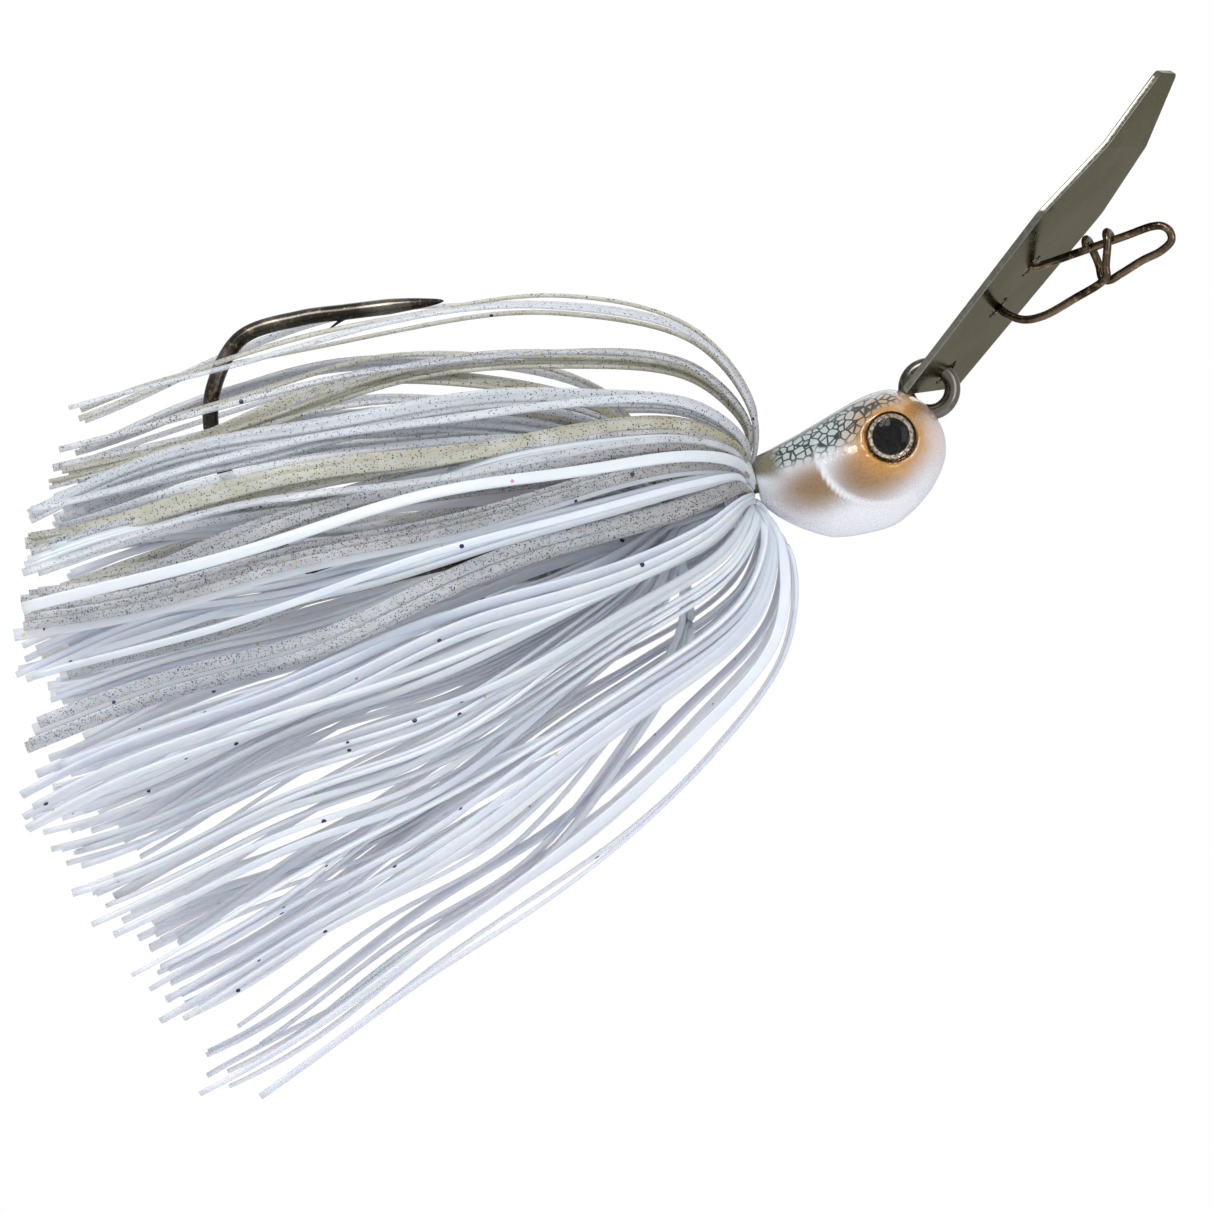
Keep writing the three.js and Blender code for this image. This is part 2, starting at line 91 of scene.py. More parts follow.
# snap and blade
SNAP_WIRE = 0.66
SNAP_SPACING = 4.26
SNAP_REACH = 11.5          # from the middle of its holes to its nose
SNAP_STAND = 6.9           # how far its nose stands out from the blade
SNAP_FROM_END = 10.95      # from the blade's lower end to the middle of the snap's holes
SNAP_HOLE_RADIUS = SNAP_WIRE / 2 + 0.74
EYE_HOLE_RADIUS = HOOK_WIRE / 2 + 0.56
EYE_HOLE_UP = 0.8 + EYE_HOLE_RADIUS
BLADE_LENGTH = 25.4        # up to the bend line
BLADE_TIP = 6.6            # from the bend line to the top edge
BLADE_WIDTH = 17.5
BLADE_END_WIDTH = 14.1
BLADE_WIDEST = BLADE_LENGTH * 0.724       # how far up the plate is widest
BLADE_SHOULDER = BLADE_WIDTH * 0.331      # half its width at the bend line
BLADE_TIP_HALF = BLADE_WIDTH * 0.137      # half its width along the top edge
BLADE_THICK = 0.55
BLADE_BEND = 9             # degrees
BLADE_EDGE = 0.1           # radius of every edge
BLADE_CORNER = 0.55        # how far from a corner its rounding starts
BLADE_HOLES = (            # how far up each hole is, and its radius
    (EYE_HOLE_UP, EYE_HOLE_RADIUS),
    (SNAP_FROM_END - SNAP_SPACING / 2, SNAP_HOLE_RADIUS),
    (SNAP_FROM_END + SNAP_SPACING / 2, SNAP_HOLE_RADIUS),
)

# trailer keeper
KEEPER_WIRE = 0.5
KEEPER_LENGTH = 22.6
KEEPER_BARB = 1.6

# skirt and tie
STRAND_WIDE = 0.62
STRAND_THICK = 0.34
STRAND_SIDES = 12
STRAND_ROOM = math.hypot(0.55, 0.42)      # the circle each strand is given under the tie
SKIRT_REACH = 58
SKIRT_SPREAD = 18
HOOK_CLEAR = 2.6           # strands stay this far from the hook's plane
FRONT_TRIM = 0.45          # how ragged the front halves' tips are
INNER_STRANDS = 3          # strands a side in the inner and the outer ring under the tie
OUTER_STRANDS = 8
TIE_ALONG = -1.7           # the tie's middle, along the shank from the collar
GATHER_ALONG = -3.2        # where the rear halves still lie close round the shank
FLARE_ALONG = -6.0         # where they spread from it
THREAD_WIDE = 0.34
THREAD_THICK = 0.3
THREAD_TURNS = 4
THREAD_PITCH = 0.3
LOCKS = 30                 # groups of strands that lie together
STRANDS_IN_LOCK = 4
LOCK_SPREAD = 0.009        # between neighbours in a lock, as a share of the way from top to bottom
SEED = 11

# ---- places read from the frame ----
joints = {joint["name"]: joint for joint in frame["joints"]}


def box_middle(part):
    """The middle of a solid's box, in millimetres."""
    low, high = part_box(part)
    return (np.array(low) + np.array(high)) / 2 / MM


FORWARD = np.array([math.cos(PITCH), 0.0, math.sin(PITCH)])
UPWARD = np.array([-math.sin(PITCH), 0.0, math.cos(PITCH)])
ACROSS = np.array([0.0, 1.0, 0.0])
COLLAR = box_middle("skirt_tie") - TIE_ALONG * FORWARD
SNAP_MIDDLE = np.array(joints["snap_swing"]["pos_m"]) / MM
BLADE_UP = np.array(joints["snap_swing"]["axis"])
BLADE_BACK = next(mount for mount in frame["record"]["mounts"] if mount["name"] == "blade_back")
BLADE_FACE = -np.array(BLADE_BACK["axis"])
BLADE_SIDE = np.cross(BLADE_UP, BLADE_FACE)


def jig(points):
    """Points given as along, across, up the shank, turned and moved into the row's frame."""
    points = np.asarray(points, float)
    return (COLLAR + points[..., :1] * FORWARD + points[..., 1:2] * ACROSS
            + points[..., 2:3] * UPWARD)


def snap_place(points):
    """Points given as across, along, out of the blade, moved to the middle of the two holes
    that the snap runs through."""
    points = np.asarray(points, float)
    return (SNAP_MIDDLE + points[..., :1] * BLADE_SIDE + points[..., 1:2] * BLADE_UP
            + points[..., 2:3] * BLADE_FACE)


# ---- camera: level with the hook's plane and square to it ----
FRAME_WIDTH = 97.12
CAMERA_AWAY = 500.0
VIEW_FROM_COLLAR = np.array([-11.44, 0.0, -9.6])


def make_camera():
    """A long lens that takes in the frame's width at the hook's plane."""
    data = bpy.data.cameras.new("camera")
    data.sensor_width = 36.0
    data.lens = 36.0 * CAMERA_AWAY / FRAME_WIDTH
    data.clip_start = 0.01
    camera = bpy.data.objects.new("camera", data)
    bpy.context.scene.collection.objects.link(camera)
    camera.location = (COLLAR + VIEW_FROM_COLLAR - CAMERA_AWAY * ACROSS) * MM
    camera.rotation_euler = (math.pi / 2, 0, 0)
    bpy.context.scene.camera = camera


make_camera()


# ---- surfaces ----
def smooth_route(points, per_span):
    """A centripetal Catmull-Rom curve: on each span a cubic whose end slopes come from the
    neighbouring points, each weighted by the root of its distance, sampled per_span times."""
    points = np.asarray(points, float)
    p = np.vstack([2 * points[0] - points[1], points, 2 * points[-1] - points[-2]])
    step = np.sqrt(np.linalg.norm(np.diff(p, axis=0), axis=1))
    before, here, after = step[:-2, None], step[1:-1, None], step[2:, None]
    p0, p1, p2, p3 = p[:-3], p[1:-2], p[2:-1], p[3:]
    slope1 = ((p1 - p0) / before - (p2 - p0) / (before + here) + (p2 - p1) / here) * here
    slope2 = ((p2 - p1) / here - (p3 - p1) / (here + after) + (p3 - p2) / after) * here
    t = (np.arange(per_span) / per_span)[None, :, None]
    p1, p2, slope1, slope2 = (part[:, None, :] for part in (p1, p2, slope1, slope2))
    curve = ((2 * t**3 - 3 * t**2 + 1) * p1 + (t**3 - 2 * t**2 + t) * slope1
             + (3 * t**2 - 2 * t**3) * p2 + (t**3 - t**2) * slope2)
    return np.vstack([curve.reshape(-1, 3), points[-1]])


def unit(vectors):
    """Each vector divided by its length."""
    return vectors / np.maximum(np.linalg.norm(vectors, axis=-1, keepdims=True), 1e-12)


def distance_along(route):
    """How far along a route each of its points is."""
    return np.concatenate([[0], np.cumsum(np.linalg.norm(np.diff(route, axis=0), axis=1))])


def tube_faces(rings, sides):
    """Quads between neighbouring rings, and a fan from a middle point over each end ring."""
    i, j = np.meshgrid(np.arange(rings - 1), np.arange(sides), indexing="ij")
    k = (j + 1) % sides
    walls = np.stack([i * sides + j, i * sides + k, (i + 1) * sides + k, (i + 1) * sides + j], -1)
    j = np.arange(sides)
    k = (j + 1) % sides
    first, last = rings * sides, rings * sides + 1
    start = np.stack([np.full(sides, first), k, j], -1)
    end = np.stack([np.full(sides, last), (rings - 1) * sides + j, (rings - 1) * sides + k], -1)
    return walls.reshape(-1, 4).tolist() + start.tolist() + end.tolist()


def sweep(route, wide, thick, outward, sides=16, square=1.0):
    """A closed tube along a route. Each ring is half the width times the cosine and half the
    thickness times the sine of an angle, both raised to the power square, so 1 is an ellipse
    and less is a strip with rounded edges. outward gives the direction of the thickness."""
    tangent = unit(np.gradient(route, axis=0))
    outward = np.broadcast_to(outward, route.shape)
    side = unit(np.cross(outward, tangent))
    out = np.cross(tangent, side)
    angle = np.arange(sides) * 2 * np.pi / sides
    cosine = np.sign(np.cos(angle)) * np.abs(np.cos(angle)) ** square
    sine = np.sign(np.sin(angle)) * np.abs(np.sin(angle)) ** square
    wide = np.broadcast_to(wide, len(route))[:, None, None] / 2
    thick = np.broadcast_to(thick, len(route))[:, None, None] / 2
    rings = (route[:, None] + side[:, None] * cosine[None, :, None] * wide
             + out[:, None] * sine[None, :, None] * thick)
    points = np.vstack([rings.reshape(-1, 3), route[0], route[-1]])
    return points, tube_faces(len(route), sides)


def joined(*parts):
    """Several point and face lists as one."""
    points, faces, start = [], [], 0
    for some, polygons in parts:
        points.append(some)
        faces += [[corner + start for corner in polygon] for polygon in polygons]
        start += len(some)
    return np.vstack(points), faces


def make_piece(name, surface, material, body, replaces=(), values=None, smooth=True):
    """A mesh piece in metres with its place in its points. values are named numbers per point,
    and smooth is one choice for the piece or a list with one per face."""
    points, faces = surface
    mesh = bpy.data.meshes.new(name)
    mesh.from_pydata((points * MM).tolist(), [], faces)
    mesh.polygons.foreach_set("use_smooth", np.broadcast_to(smooth, len(mesh.polygons)).copy())
    for word, numbers in (values or {}).items():
        layer = mesh.attributes.new(word, "FLOAT", "POINT")
        layer.data.foreach_set("value", np.ascontiguousarray(numbers, dtype=np.float32))
    mesh.materials.append(material)
    mesh.update()
    piece = bpy.data.objects.new(name, mesh)
    bpy.context.scene.collection.objects.link(piece)
    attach(piece, body)
    if replaces:
        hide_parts(*replaces)


# ---- shader groups and material helpers ----
def node(tree, kind, **settings):
    """A new node with its settings."""
    made = tree.nodes.new(kind)
    for word, value in settings.items():
        setattr(made, word, value)
    return made


def new_group(name, inputs, outputs):
    """A shader group with its sockets; inputs are (name, type, default)."""
    group = bpy.data.node_groups.new(name, "ShaderNodeTree")
    for word, kind, default in inputs:
        socket = group.interface.new_socket(word, in_out="INPUT", socket_type=kind)
        if default is not None:
            socket.default_value = default
    for word, kind in outputs:
        group.interface.new_socket(word, in_out="OUTPUT", socket_type=kind)
    return group, node(group, "NodeGroupInput"), node(group, "NodeGroupOutput")


def math_node(tree, operation, first, second=None, third=None):
    """One sum on up to three values, each a socket or a number."""
    made = node(tree, "ShaderNodeMath", operation=operation)
    for socket, value in zip(made.inputs, (first, second, third)):
        if value is None:
            continue
        if isinstance(value, (int, float)):
            socket.default_value = value
        else:
            tree.links.new(value, socket)
    return made.outputs[0]


def step_node(tree, value, low, high, to_low=0.0, to_high=1.0):
    """A smooth step of value from low to high."""
    made = node(tree, "ShaderNodeMapRange", interpolation_type="SMOOTHSTEP")
    tree.links.new(value, made.inputs["Value"])
    made.inputs["From Min"].default_value = low
    made.inputs["From Max"].default_value = high
    made.inputs["To Min"].default_value = to_low
    made.inputs["To Max"].default_value = to_high
    return made.outputs["Result"]


def mix_node(tree, factor, first, second):
    """Colour mixed from first to second; each is a socket or an rgb."""
    made = node(tree, "ShaderNodeMix", data_type="RGBA", blend_type="MIX")
    pairs = ((made.inputs[0], factor), (made.inputs[6], first), (made.inputs[7], second))
    for socket, value in pairs:
        if isinstance(value, (int, float)):
            socket.default_value = value
        elif isinstance(value, (tuple, list)):
            socket.default_value = (*value, 1.0)
        else:
            tree.links.new(value, socket)
    return made.outputs[2]


def fleck_group():
    """Flecks: cells of a three-way Voronoi pattern. A fleck is the part of a cell nearer to its
    point than Radius, and only the Share of cells whose random number is low have one."""
    group, start, end = new_group("flecks", [
        ("Vector", "NodeSocketVector", None), ("Scale", "NodeSocketFloat", 2000.0),
        ("Radius", "NodeSocketFloat", 0.35), ("Share", "NodeSocketFloat", 0.5),
    ], [("Mask", "NodeSocketFloat"), ("Shade", "NodeSocketFloat")])
    cells = node(group, "ShaderNodeTexVoronoi", feature="F1")
    group.links.new(start.outputs["Vector"], cells.inputs["Vector"])
    group.links.new(start.outputs["Scale"], cells.inputs["Scale"])
    parts = node(group, "ShaderNodeSeparateColor")
    group.links.new(cells.outputs["Color"], parts.inputs[0])
    near = math_node(group, "LESS_THAN", cells.outputs["Distance"], start.outputs["Radius"])
    kept = math_node(group, "LESS_THAN", parts.outputs[0], start.outputs["Share"])
    group.links.new(math_node(group, "MULTIPLY", near, kept), end.inputs["Mask"])
    group.links.new(parts.outputs[1], end.inputs["Shade"])
    return group


def grain_group():
    """Grain: noise at two scales, given as a number round a half and as a normal."""
    group, start, end = new_group("grain", [
        ("Vector", "NodeSocketVector", None), ("Scale", "NodeSocketFloat", 800.0),
        ("Depth", "NodeSocketFloat", 0.1),
    ], [("Amount", "NodeSocketFloat"), ("Normal", "NodeSocketVector")])
    noise = node(group, "ShaderNodeTexNoise")
    noise.inputs["Detail"].default_value = 4.0
    group.links.new(start.outputs["Vector"], noise.inputs["Vector"])
    group.links.new(start.outputs["Scale"], noise.inputs["Scale"])
    bump = node(group, "ShaderNodeBump")
    bump.inputs["Distance"].default_value = 0.0001
    group.links.new(start.outputs["Depth"], bump.inputs["Strength"])
    group.links.new(noise.outputs["Fac"], bump.inputs["Height"])
    group.links.new(noise.outputs["Fac"], end.inputs["Amount"])
    group.links.new(bump.outputs["Normal"], end.inputs["Normal"])
    return group


FLECKS = fleck_group()
GRAIN = grain_group()


def new_material(name, **sockets):
    """A material with constants on its shader's sockets, and the object's own coordinates."""
    material = bpy.data.materials.new(name)
    material.use_nodes = True
    tree = material.node_tree
    shader = tree.nodes["Principled BSDF"]
    for word, value in sockets.items():
        shader.inputs[word.replace("_", " ")].default_value = value
    place = node(tree, "ShaderNodeTexCoord").outputs["Object"]
    return material, tree, shader, place


def flecks(tree, place, scale, radius, share):
    """The fleck group's mask, and a number that differs from fleck to fleck."""
    made = node(tree, "ShaderNodeGroup", node_tree=FLECKS)
    tree.links.new(place, made.inputs["Vector"])
    for word, value in (("Scale", scale), ("Radius", radius), ("Share", share)):
        made.inputs[word].default_value = value
    return made.outputs["Mask"], made.outputs["Shade"]


def grain(tree, place, scale, depth):
    """The grain group's number and normal."""
    made = node(tree, "ShaderNodeGroup", node_tree=GRAIN)
    tree.links.new(place, made.inputs["Vector"])
    made.inputs["Scale"].default_value = scale
    made.inputs["Depth"].default_value = depth
    return made.outputs["Amount"], made.outputs["Normal"]


def attribute(tree, word):
    """A number stored on the piece's points."""
    return node(tree, "ShaderNodeAttribute", attribute_name=word).outputs["Fac"]


# ---- materials ----
def plated_wire(name, dark, light, tint, roughness):
    """Plated wire: dark metal clouded with a lighter tone, and the tint as fine painted glints."""
    material, tree, shader, place = new_material(name, Metallic=1.0)
    cloud, normal = grain(tree, place, 260.0, 0.25)
    fine, _ = grain(tree, place, 2600.0, 0.1)
    colour = mix_node(tree, step_node(tree, cloud, 0.4, 0.68), dark, light)
    # painted glints: fine flecks of the tint mixed into the metal's colour
    colour = mix_node(tree, step_node(tree, fine, 0.52, 0.72, 0.0, 0.55), colour, tint)
    tree.links.new(colour, shader.inputs["Base Color"])
    rough = step_node(tree, fine, 0.3, 0.7, roughness, roughness + 0.14)
    tree.links.new(rough, shader.inputs["Roughness"])
    tree.links.new(normal, shader.inputs["Normal"])
    return material


def blade_nickel():
    """Polished plate: mid warm grey with a fine rolled grain and faint handling marks."""
    material, tree, shader, place = new_material(
        "blade_nickel", Metallic=1.0, Specular_Tint=(0.5, 0.47, 0.39, 1))
    cloud, _ = grain(tree, place, 120.0, 0.0)
    fine, normal = grain(tree, place, 3200.0, 0.03)
    clouded, worn = step_node(tree, cloud, 0.35, 0.65), step_node(tree, fine, 0.4, 0.8, 0.0, 0.5)
    colour = mix_node(tree, clouded, (0.19, 0.182, 0.15), (0.25, 0.24, 0.20))
    colour = mix_node(tree, worn, colour, (0.36, 0.335, 0.265))
    tree.links.new(colour, shader.inputs["Base Color"])
    tree.links.new(step_node(tree, fine, 0.3, 0.7, 0.1, 0.22), shader.inputs["Roughness"])
    tree.links.new(normal, shader.inputs["Normal"])
    return material


def strand_silicone(name, pale, deep, pepper, gold, share, alpha):
    """Silicone strand: tinted clear rubber, deeper towards its root, with pepper flecks and foil
    flecks at two sizes, and a few large navy flakes."""
    material, tree, shader, place = new_material(
        name, IOR=1.41, Coat_Weight=0.35, Coat_Roughness=0.15,
        Subsurface_Weight=0.25, Subsurface_Scale=0.001)
    shader.inputs["Subsurface Radius"].default_value = (1.0, 0.9, 0.8)
    tone = attribute(tree, "tone")
    root = attribute(tree, "root")
    cloud, normal = grain(tree, place, 500.0, 0.3)
    colour = mix_node(tree, math_node(tree, "MULTIPLY", tone, 0.35), pale, deep)
    colour = mix_node(tree, math_node(tree, "MULTIPLY", root, 0.85), colour, deep)
    colour = mix_node(tree, step_node(tree, cloud, 0.4, 0.75, 0.0, 0.3), colour, (0.95, 0.96, 1.0))
    for scale, radius, part in ((7600.0, 0.42, share), (4600.0, 0.34, share * 0.5)):
        mask, shade = flecks(tree, place, scale, radius, part)
        dark = mix_node(tree, step_node(tree, shade, 0.62, 0.66), pepper, gold)
        dark = mix_node(tree, step_node(tree, shade, 0.86, 0.88), dark, (0.16, 0.42, 0.52))
        colour = mix_node(tree, mask, colour, dark)
    mask, shade = flecks(tree, place, 620.0, 0.12, 0.1)
    colour = mix_node(tree, mask, colour, (0.01, 0.012, 0.05))
    solid = math_node(tree, "MULTIPLY_ADD", root, 1 - alpha, alpha)
    tree.links.new(math_node(tree, "MAXIMUM", solid, mask), shader.inputs["Alpha"])
    tree.links.new(colour, shader.inputs["Base Color"])
    tree.links.new(step_node(tree, cloud, 0.3, 0.7, 0.32, 0.5), shader.inputs["Roughness"])
    tree.links.new(normal, shader.inputs["Normal"])
    return material


def pearl_silicone():
    """Pearl strand: milky blue-white rubber with sparse large navy flakes and a few pink ones."""
    material, tree, shader, place = new_material(
        "pearl_silicone", IOR=1.41, Coat_Weight=0.4, Coat_Roughness=0.12,
        Subsurface_Weight=0.3, Subsurface_Scale=0.001)
    tone = attribute(tree, "tone")
    cloud, normal = grain(tree, place, 420.0, 0.3)
    colour = mix_node(tree, tone, (0.93, 0.945, 1.0), (0.82, 0.855, 0.97))
    colour = mix_node(tree, step_node(tree, cloud, 0.42, 0.7, 0.0, 0.5), colour, (0.97, 0.97, 1.0))
    large, shade = flecks(tree, place, 560.0, 0.115, 0.2)
    teal = step_node(tree, shade, 0.7, 0.72)
    flake = mix_node(tree, teal, (0.01, 0.015, 0.07), (0.03, 0.08, 0.16))
    colour = mix_node(tree, large, colour, flake)
    mask, shade = flecks(tree, place, 900.0, 0.14, 0.05)
    gold = step_node(tree, shade, 0.6, 0.62)
    flake = mix_node(tree, gold, (0.72, 0.25, 0.55), (0.75, 0.62, 0.2))
    colour = mix_node(tree, mask, colour, flake)
    tree.links.new(math_node(tree, "MAXIMUM", large, 0.7), shader.inputs["Alpha"])
    tree.links.new(colour, shader.inputs["Base Color"])
    tree.links.new(step_node(tree, cloud, 0.3, 0.7, 0.28, 0.45), shader.inputs["Roughness"])
    tree.links.new(normal, shader.inputs["Normal"])
    return material


def fish_paint():
    """Painted head under clear coat: pearl flank and belly, a scale net on the back, a tan cheek,
    gold round the eye, a pink nose and a pale painted highlight along the gill cover's edge.
    Each coat's mask, and the highlight's, is a number stored on the points."""
    material, tree, shader, place = new_material("fish_paint", Coat_Weight=0.9, Coat_Roughness=0.05)
    flake, normal = grain(tree, place, 5200.0, 0.12)
    soft, _ = grain(tree, place, 900.0, 0.0)
    pearl = step_node(tree, flake, 0.42, 0.66)
    colour = mix_node(tree, pearl, (0.70, 0.74, 0.80), (0.93, 0.95, 0.97))
    colour = mix_node(tree, attribute(tree, "belly"), colour, (0.93, 0.93, 0.985))
    green = math_node(tree, "MULTIPLY", attribute(tree, "back"), 0.75)
    colour = mix_node(tree, green, colour, (0.40, 0.48, 0.45))
    colour = mix_node(tree, attribute(tree, "cheek"), colour, (0.28, 0.165, 0.08))
    colour = mix_node(tree, attribute(tree, "nose"), colour, (0.93, 0.78, 0.74))
    sprayed = step_node(tree, soft, 0.2, 0.6, 0.8, 1.0)
    gold = math_node(tree, "MULTIPLY", attribute(tree, "halo"), sprayed)
    colour = mix_node(tree, gold, colour, (0.56, 0.27, 0.05))
    colour = mix_node(tree, attribute(tree, "neck"), colour, (0.15, 0.12, 0.045))
    net = node(tree, "ShaderNodeTexVoronoi", feature="DISTANCE_TO_EDGE")
    net.inputs["Scale"].default_value = 1450.0
    tree.links.new(place, net.inputs["Vector"])
    line = step_node(tree, net.outputs["Distance"], 0.05, 0.15, 1.0, 0.0)
    line = math_node(tree, "MULTIPLY", line, attribute(tree, "back"))
    colour = mix_node(tree, line, colour, (0.015, 0.03, 0.028))
    colour = mix_node(tree, attribute(tree, "ridge"), colour, (0.02, 0.035, 0.03))
    # painted highlight: a pale line along the gill cover's raised edge, from the gill mask
    colour = mix_node(tree, attribute(tree, "gill"), colour, (0.96, 0.94, 0.92))
    tree.links.new(colour, shader.inputs["Base Color"])
    tree.links.new(step_node(tree, flake, 0.35, 0.7, 0.34, 0.2), shader.inputs["Roughness"])
    tree.links.new(step_node(tree, flake, 0.45, 0.7, 0.0, 0.4), shader.inputs["Metallic"])
    tree.links.new(normal, shader.inputs["Normal"])
    return material


def eye_print():
    """Printed foil: a black pupil, a silver-gold iris and a dark ring, by the distance from the
    middle."""
    material, tree, shader, place = new_material("eye_print", Specular_IOR_Level=0.12)
    radius = attribute(tree, "radius")
    fleck, normal = grain(tree, place, 4200.0, 0.3)
    bright, faint = step_node(tree, fleck, 0.35, 0.7), step_node(tree, fleck, 0.45, 0.75)
    iris = mix_node(tree, bright, (0.30, 0.20, 0.10), (0.80, 0.72, 0.60))
    pupil = mix_node(tree, faint, (0.0015, 0.0012, 0.001), (0.016, 0.010, 0.006))
    colour = mix_node(tree, step_node(tree, radius, 0.70, 0.74), pupil, iris)
    colour = mix_node(tree, step_node(tree, radius, 0.84, 0.90), colour, (0.03, 0.016, 0.008))
    tree.links.new(colour, shader.inputs["Base Color"])
    tree.links.new(step_node(tree, radius, 0.70, 0.74, 0.0, 0.9), shader.inputs["Metallic"])
    tree.links.new(step_node(tree, fleck, 0.3, 0.7, 0.2, 0.4), shader.inputs["Roughness"])
    tree.links.new(normal, shader.inputs["Normal"])
    return material


def dome_resin():
    """Clear cast resin with the faintest ripple."""
    material, tree, shader, place = new_material("dome_resin", Transmission_Weight=1.0, IOR=1.22)
    ripple, normal = grain(tree, place, 300.0, 0.04)
    colour = mix_node(tree, ripple, (0.98, 0.98, 0.98), (1.0, 0.99, 0.97))
    tree.links.new(colour, shader.inputs["Base Color"])
    tree.links.new(step_node(tree, ripple, 0.3, 0.8, 0.0, 0.05), shader.inputs["Roughness"])
    tree.links.new(normal, shader.inputs["Normal"])
    return material


def white_thread():
    """Waxed white thread: fine twist lines and a slight sheen."""
    material, tree, shader, place = new_material("white_thread", Sheen_Weight=0.3)
    fibre, normal = grain(tree, place, 3500.0, 0.7)
    colour = mix_node(tree, fibre, (0.80, 0.82, 0.88), (0.97, 0.97, 0.99))
    tree.links.new(colour, shader.inputs["Base Color"])
    tree.links.new(step_node(tree, fibre, 0.3, 0.8, 0.45, 0.65), shader.inputs["Roughness"])
    tree.links.new(normal, shader.inputs["Normal"])
    return material


# ---- hook, eye ring and barb ----
def ring_surface(middle, mean, wire, steps=96, sides=20):
    """A closed ring of round wire in the hook's plane: each point's reach from the middle is the
    mean radius plus half the wire times the cosine of an angle, and its place across is half the
    wire times the sine."""
    turn = np.arange(steps) * 2 * np.pi / steps
    angle = np.arange(sides) * 2 * np.pi / sides
    reach = mean + wire / 2 * np.cos(angle)[None, :]
    points = np.stack([
        middle[0] + reach * np.cos(turn)[:, None],
        np.broadcast_to(wire / 2 * np.sin(angle), (steps, sides)),
        middle[2] + reach * np.sin(turn)[:, None],
    ], -1)
    i, j = np.meshgrid(np.arange(steps), np.arange(sides), indexing="ij")
    i2, j2 = (i + 1) % steps, (j + 1) % sides
    faces = np.stack([i * sides + j, i * sides + j2, i2 * sides + j2, i2 * sides + j], -1)
    return points.reshape(-1, 3), faces.reshape(-1, 4).tolist()


def hook_surface():
    """The hook's wire swept along its route from the eye to the bend and on to a ground point,
    where the width falls away with the square root of the distance left; a closed ring for the
    eye; and the barb, a small tapering tube cut up from the point leg."""
    ring_mean = (RING_OUTER - HOOK_WIRE) / 2
    ring_at = np.array([NECK_END + HEAD_LENGTH - RING_BACK, 0, HEAD_HEIGHT * RING_UP])
    entry = ring_at - ring_mean * math.sqrt(0.5) * np.array([1, 0, 1])
    back, high = HOOK_LENGTH, HOOK_GAP
    neck = [[entry[0] * along, 0, entry[2] * up] for along, up in (
        (1, 1), (0.93, 0.56), (0.78, 0.16), (0.55, 0))]
    bend = [[back * along, 0, high * up] for along, up in (
        (-0.885, 0.112), (-0.948, 0.265), (-0.985, 0.43), (-0.998, 0.56), (-1.0, 0.702),
        (-0.975, 0.842), (-0.902, 0.99), (-0.779, 1.009), (-0.688, 0.991), (-0.565, 0.963),
        (-0.53, 0.953), (-0.497, 0.945))]
    shank = [[0, 0, 0], [back * -0.35, 0, 0], [back * -0.7, 0, 0], [back * -0.79, 0, 0.25]]
    route = smooth_route(neck + shank + bend, 14)
    gone = distance_along(route)
    width = HOOK_WIRE * np.sqrt(np.clip((gone[-1] - gone) / HOOK_POINT, 0.0004, 1))
    wire = sweep(route, width, width, ACROSS, 20)
    barb_route = smooth_route([[back * along, 0, high * up] for along, up in (
        (-0.66, 0.985), (-0.70, 0.967), (-0.745, 0.93))], 6)
    barb_width = np.linspace(1, 0.04, len(barb_route)) * HOOK_WIRE
    barb = sweep(barb_route, barb_width * 0.45, barb_width * 0.75, ACROSS, 10)
    points, faces = joined(wire, ring_surface(ring_at, ring_mean, HOOK_WIRE), barb)
    return jig(points), faces


# ---- head ----
# each station: how far along the head, then its top, bottom and half width, as shares of the
# head's length, height and width
HEAD_RINGS = np.array([
    [0.0, 0.2, -0.15, 0.18], [0.07, 0.225, -0.27, 0.24], [0.17, 0.26, -0.39, 0.32],
    [0.32, 0.32, -0.51, 0.41], [0.48, 0.39, -0.54, 0.47], [0.64, 0.45, -0.53, 0.5],
    [0.77, 0.458, -0.445, 0.48], [0.865, 0.395, -0.343, 0.41], [0.942, 0.287, -0.218, 0.3],
    [0.98, 0.185, -0.12, 0.2], [0.996, 0.09, -0.03, 0.09],
])
HEAD_NOSE = np.array([1.0, 0.035, 0.025, 0.004])


def step(value, low, high):
    """Smooth step from 0 at low to 1 at high."""
    t = np.clip((value - low) / (high - low), 0, 1)
    return t * t * (3 - 2 * t)


def gill_arc(x, z):
    """How strongly the gill cover's edge stands out, by the bearing from its circle's middle:
    full behind and below, fading to nothing towards the mouth and over the eye."""
    bearing = np.degrees(np.arctan2(z - GILL_PLACE[1], x - GILL_PLACE[0]))
    below = step(bearing, -200, -172) * (1 - step(bearing, -92, -50)) * (bearing < 0)
    behind = step(bearing, 158, 178) * (bearing > 0)
    return np.maximum(below, behind)


def soft_oval(x, z, middle, reach, power=1.0):
    """The exponential of minus a power of the squared distance from a middle, in shares of the
    reach each way: 1 at the middle, falling off faster at the edge when the power is more."""
    return np.exp(-(((x - middle[0]) / reach[0]) ** 2 + ((z - middle[1]) / reach[1]) ** 2) ** power)


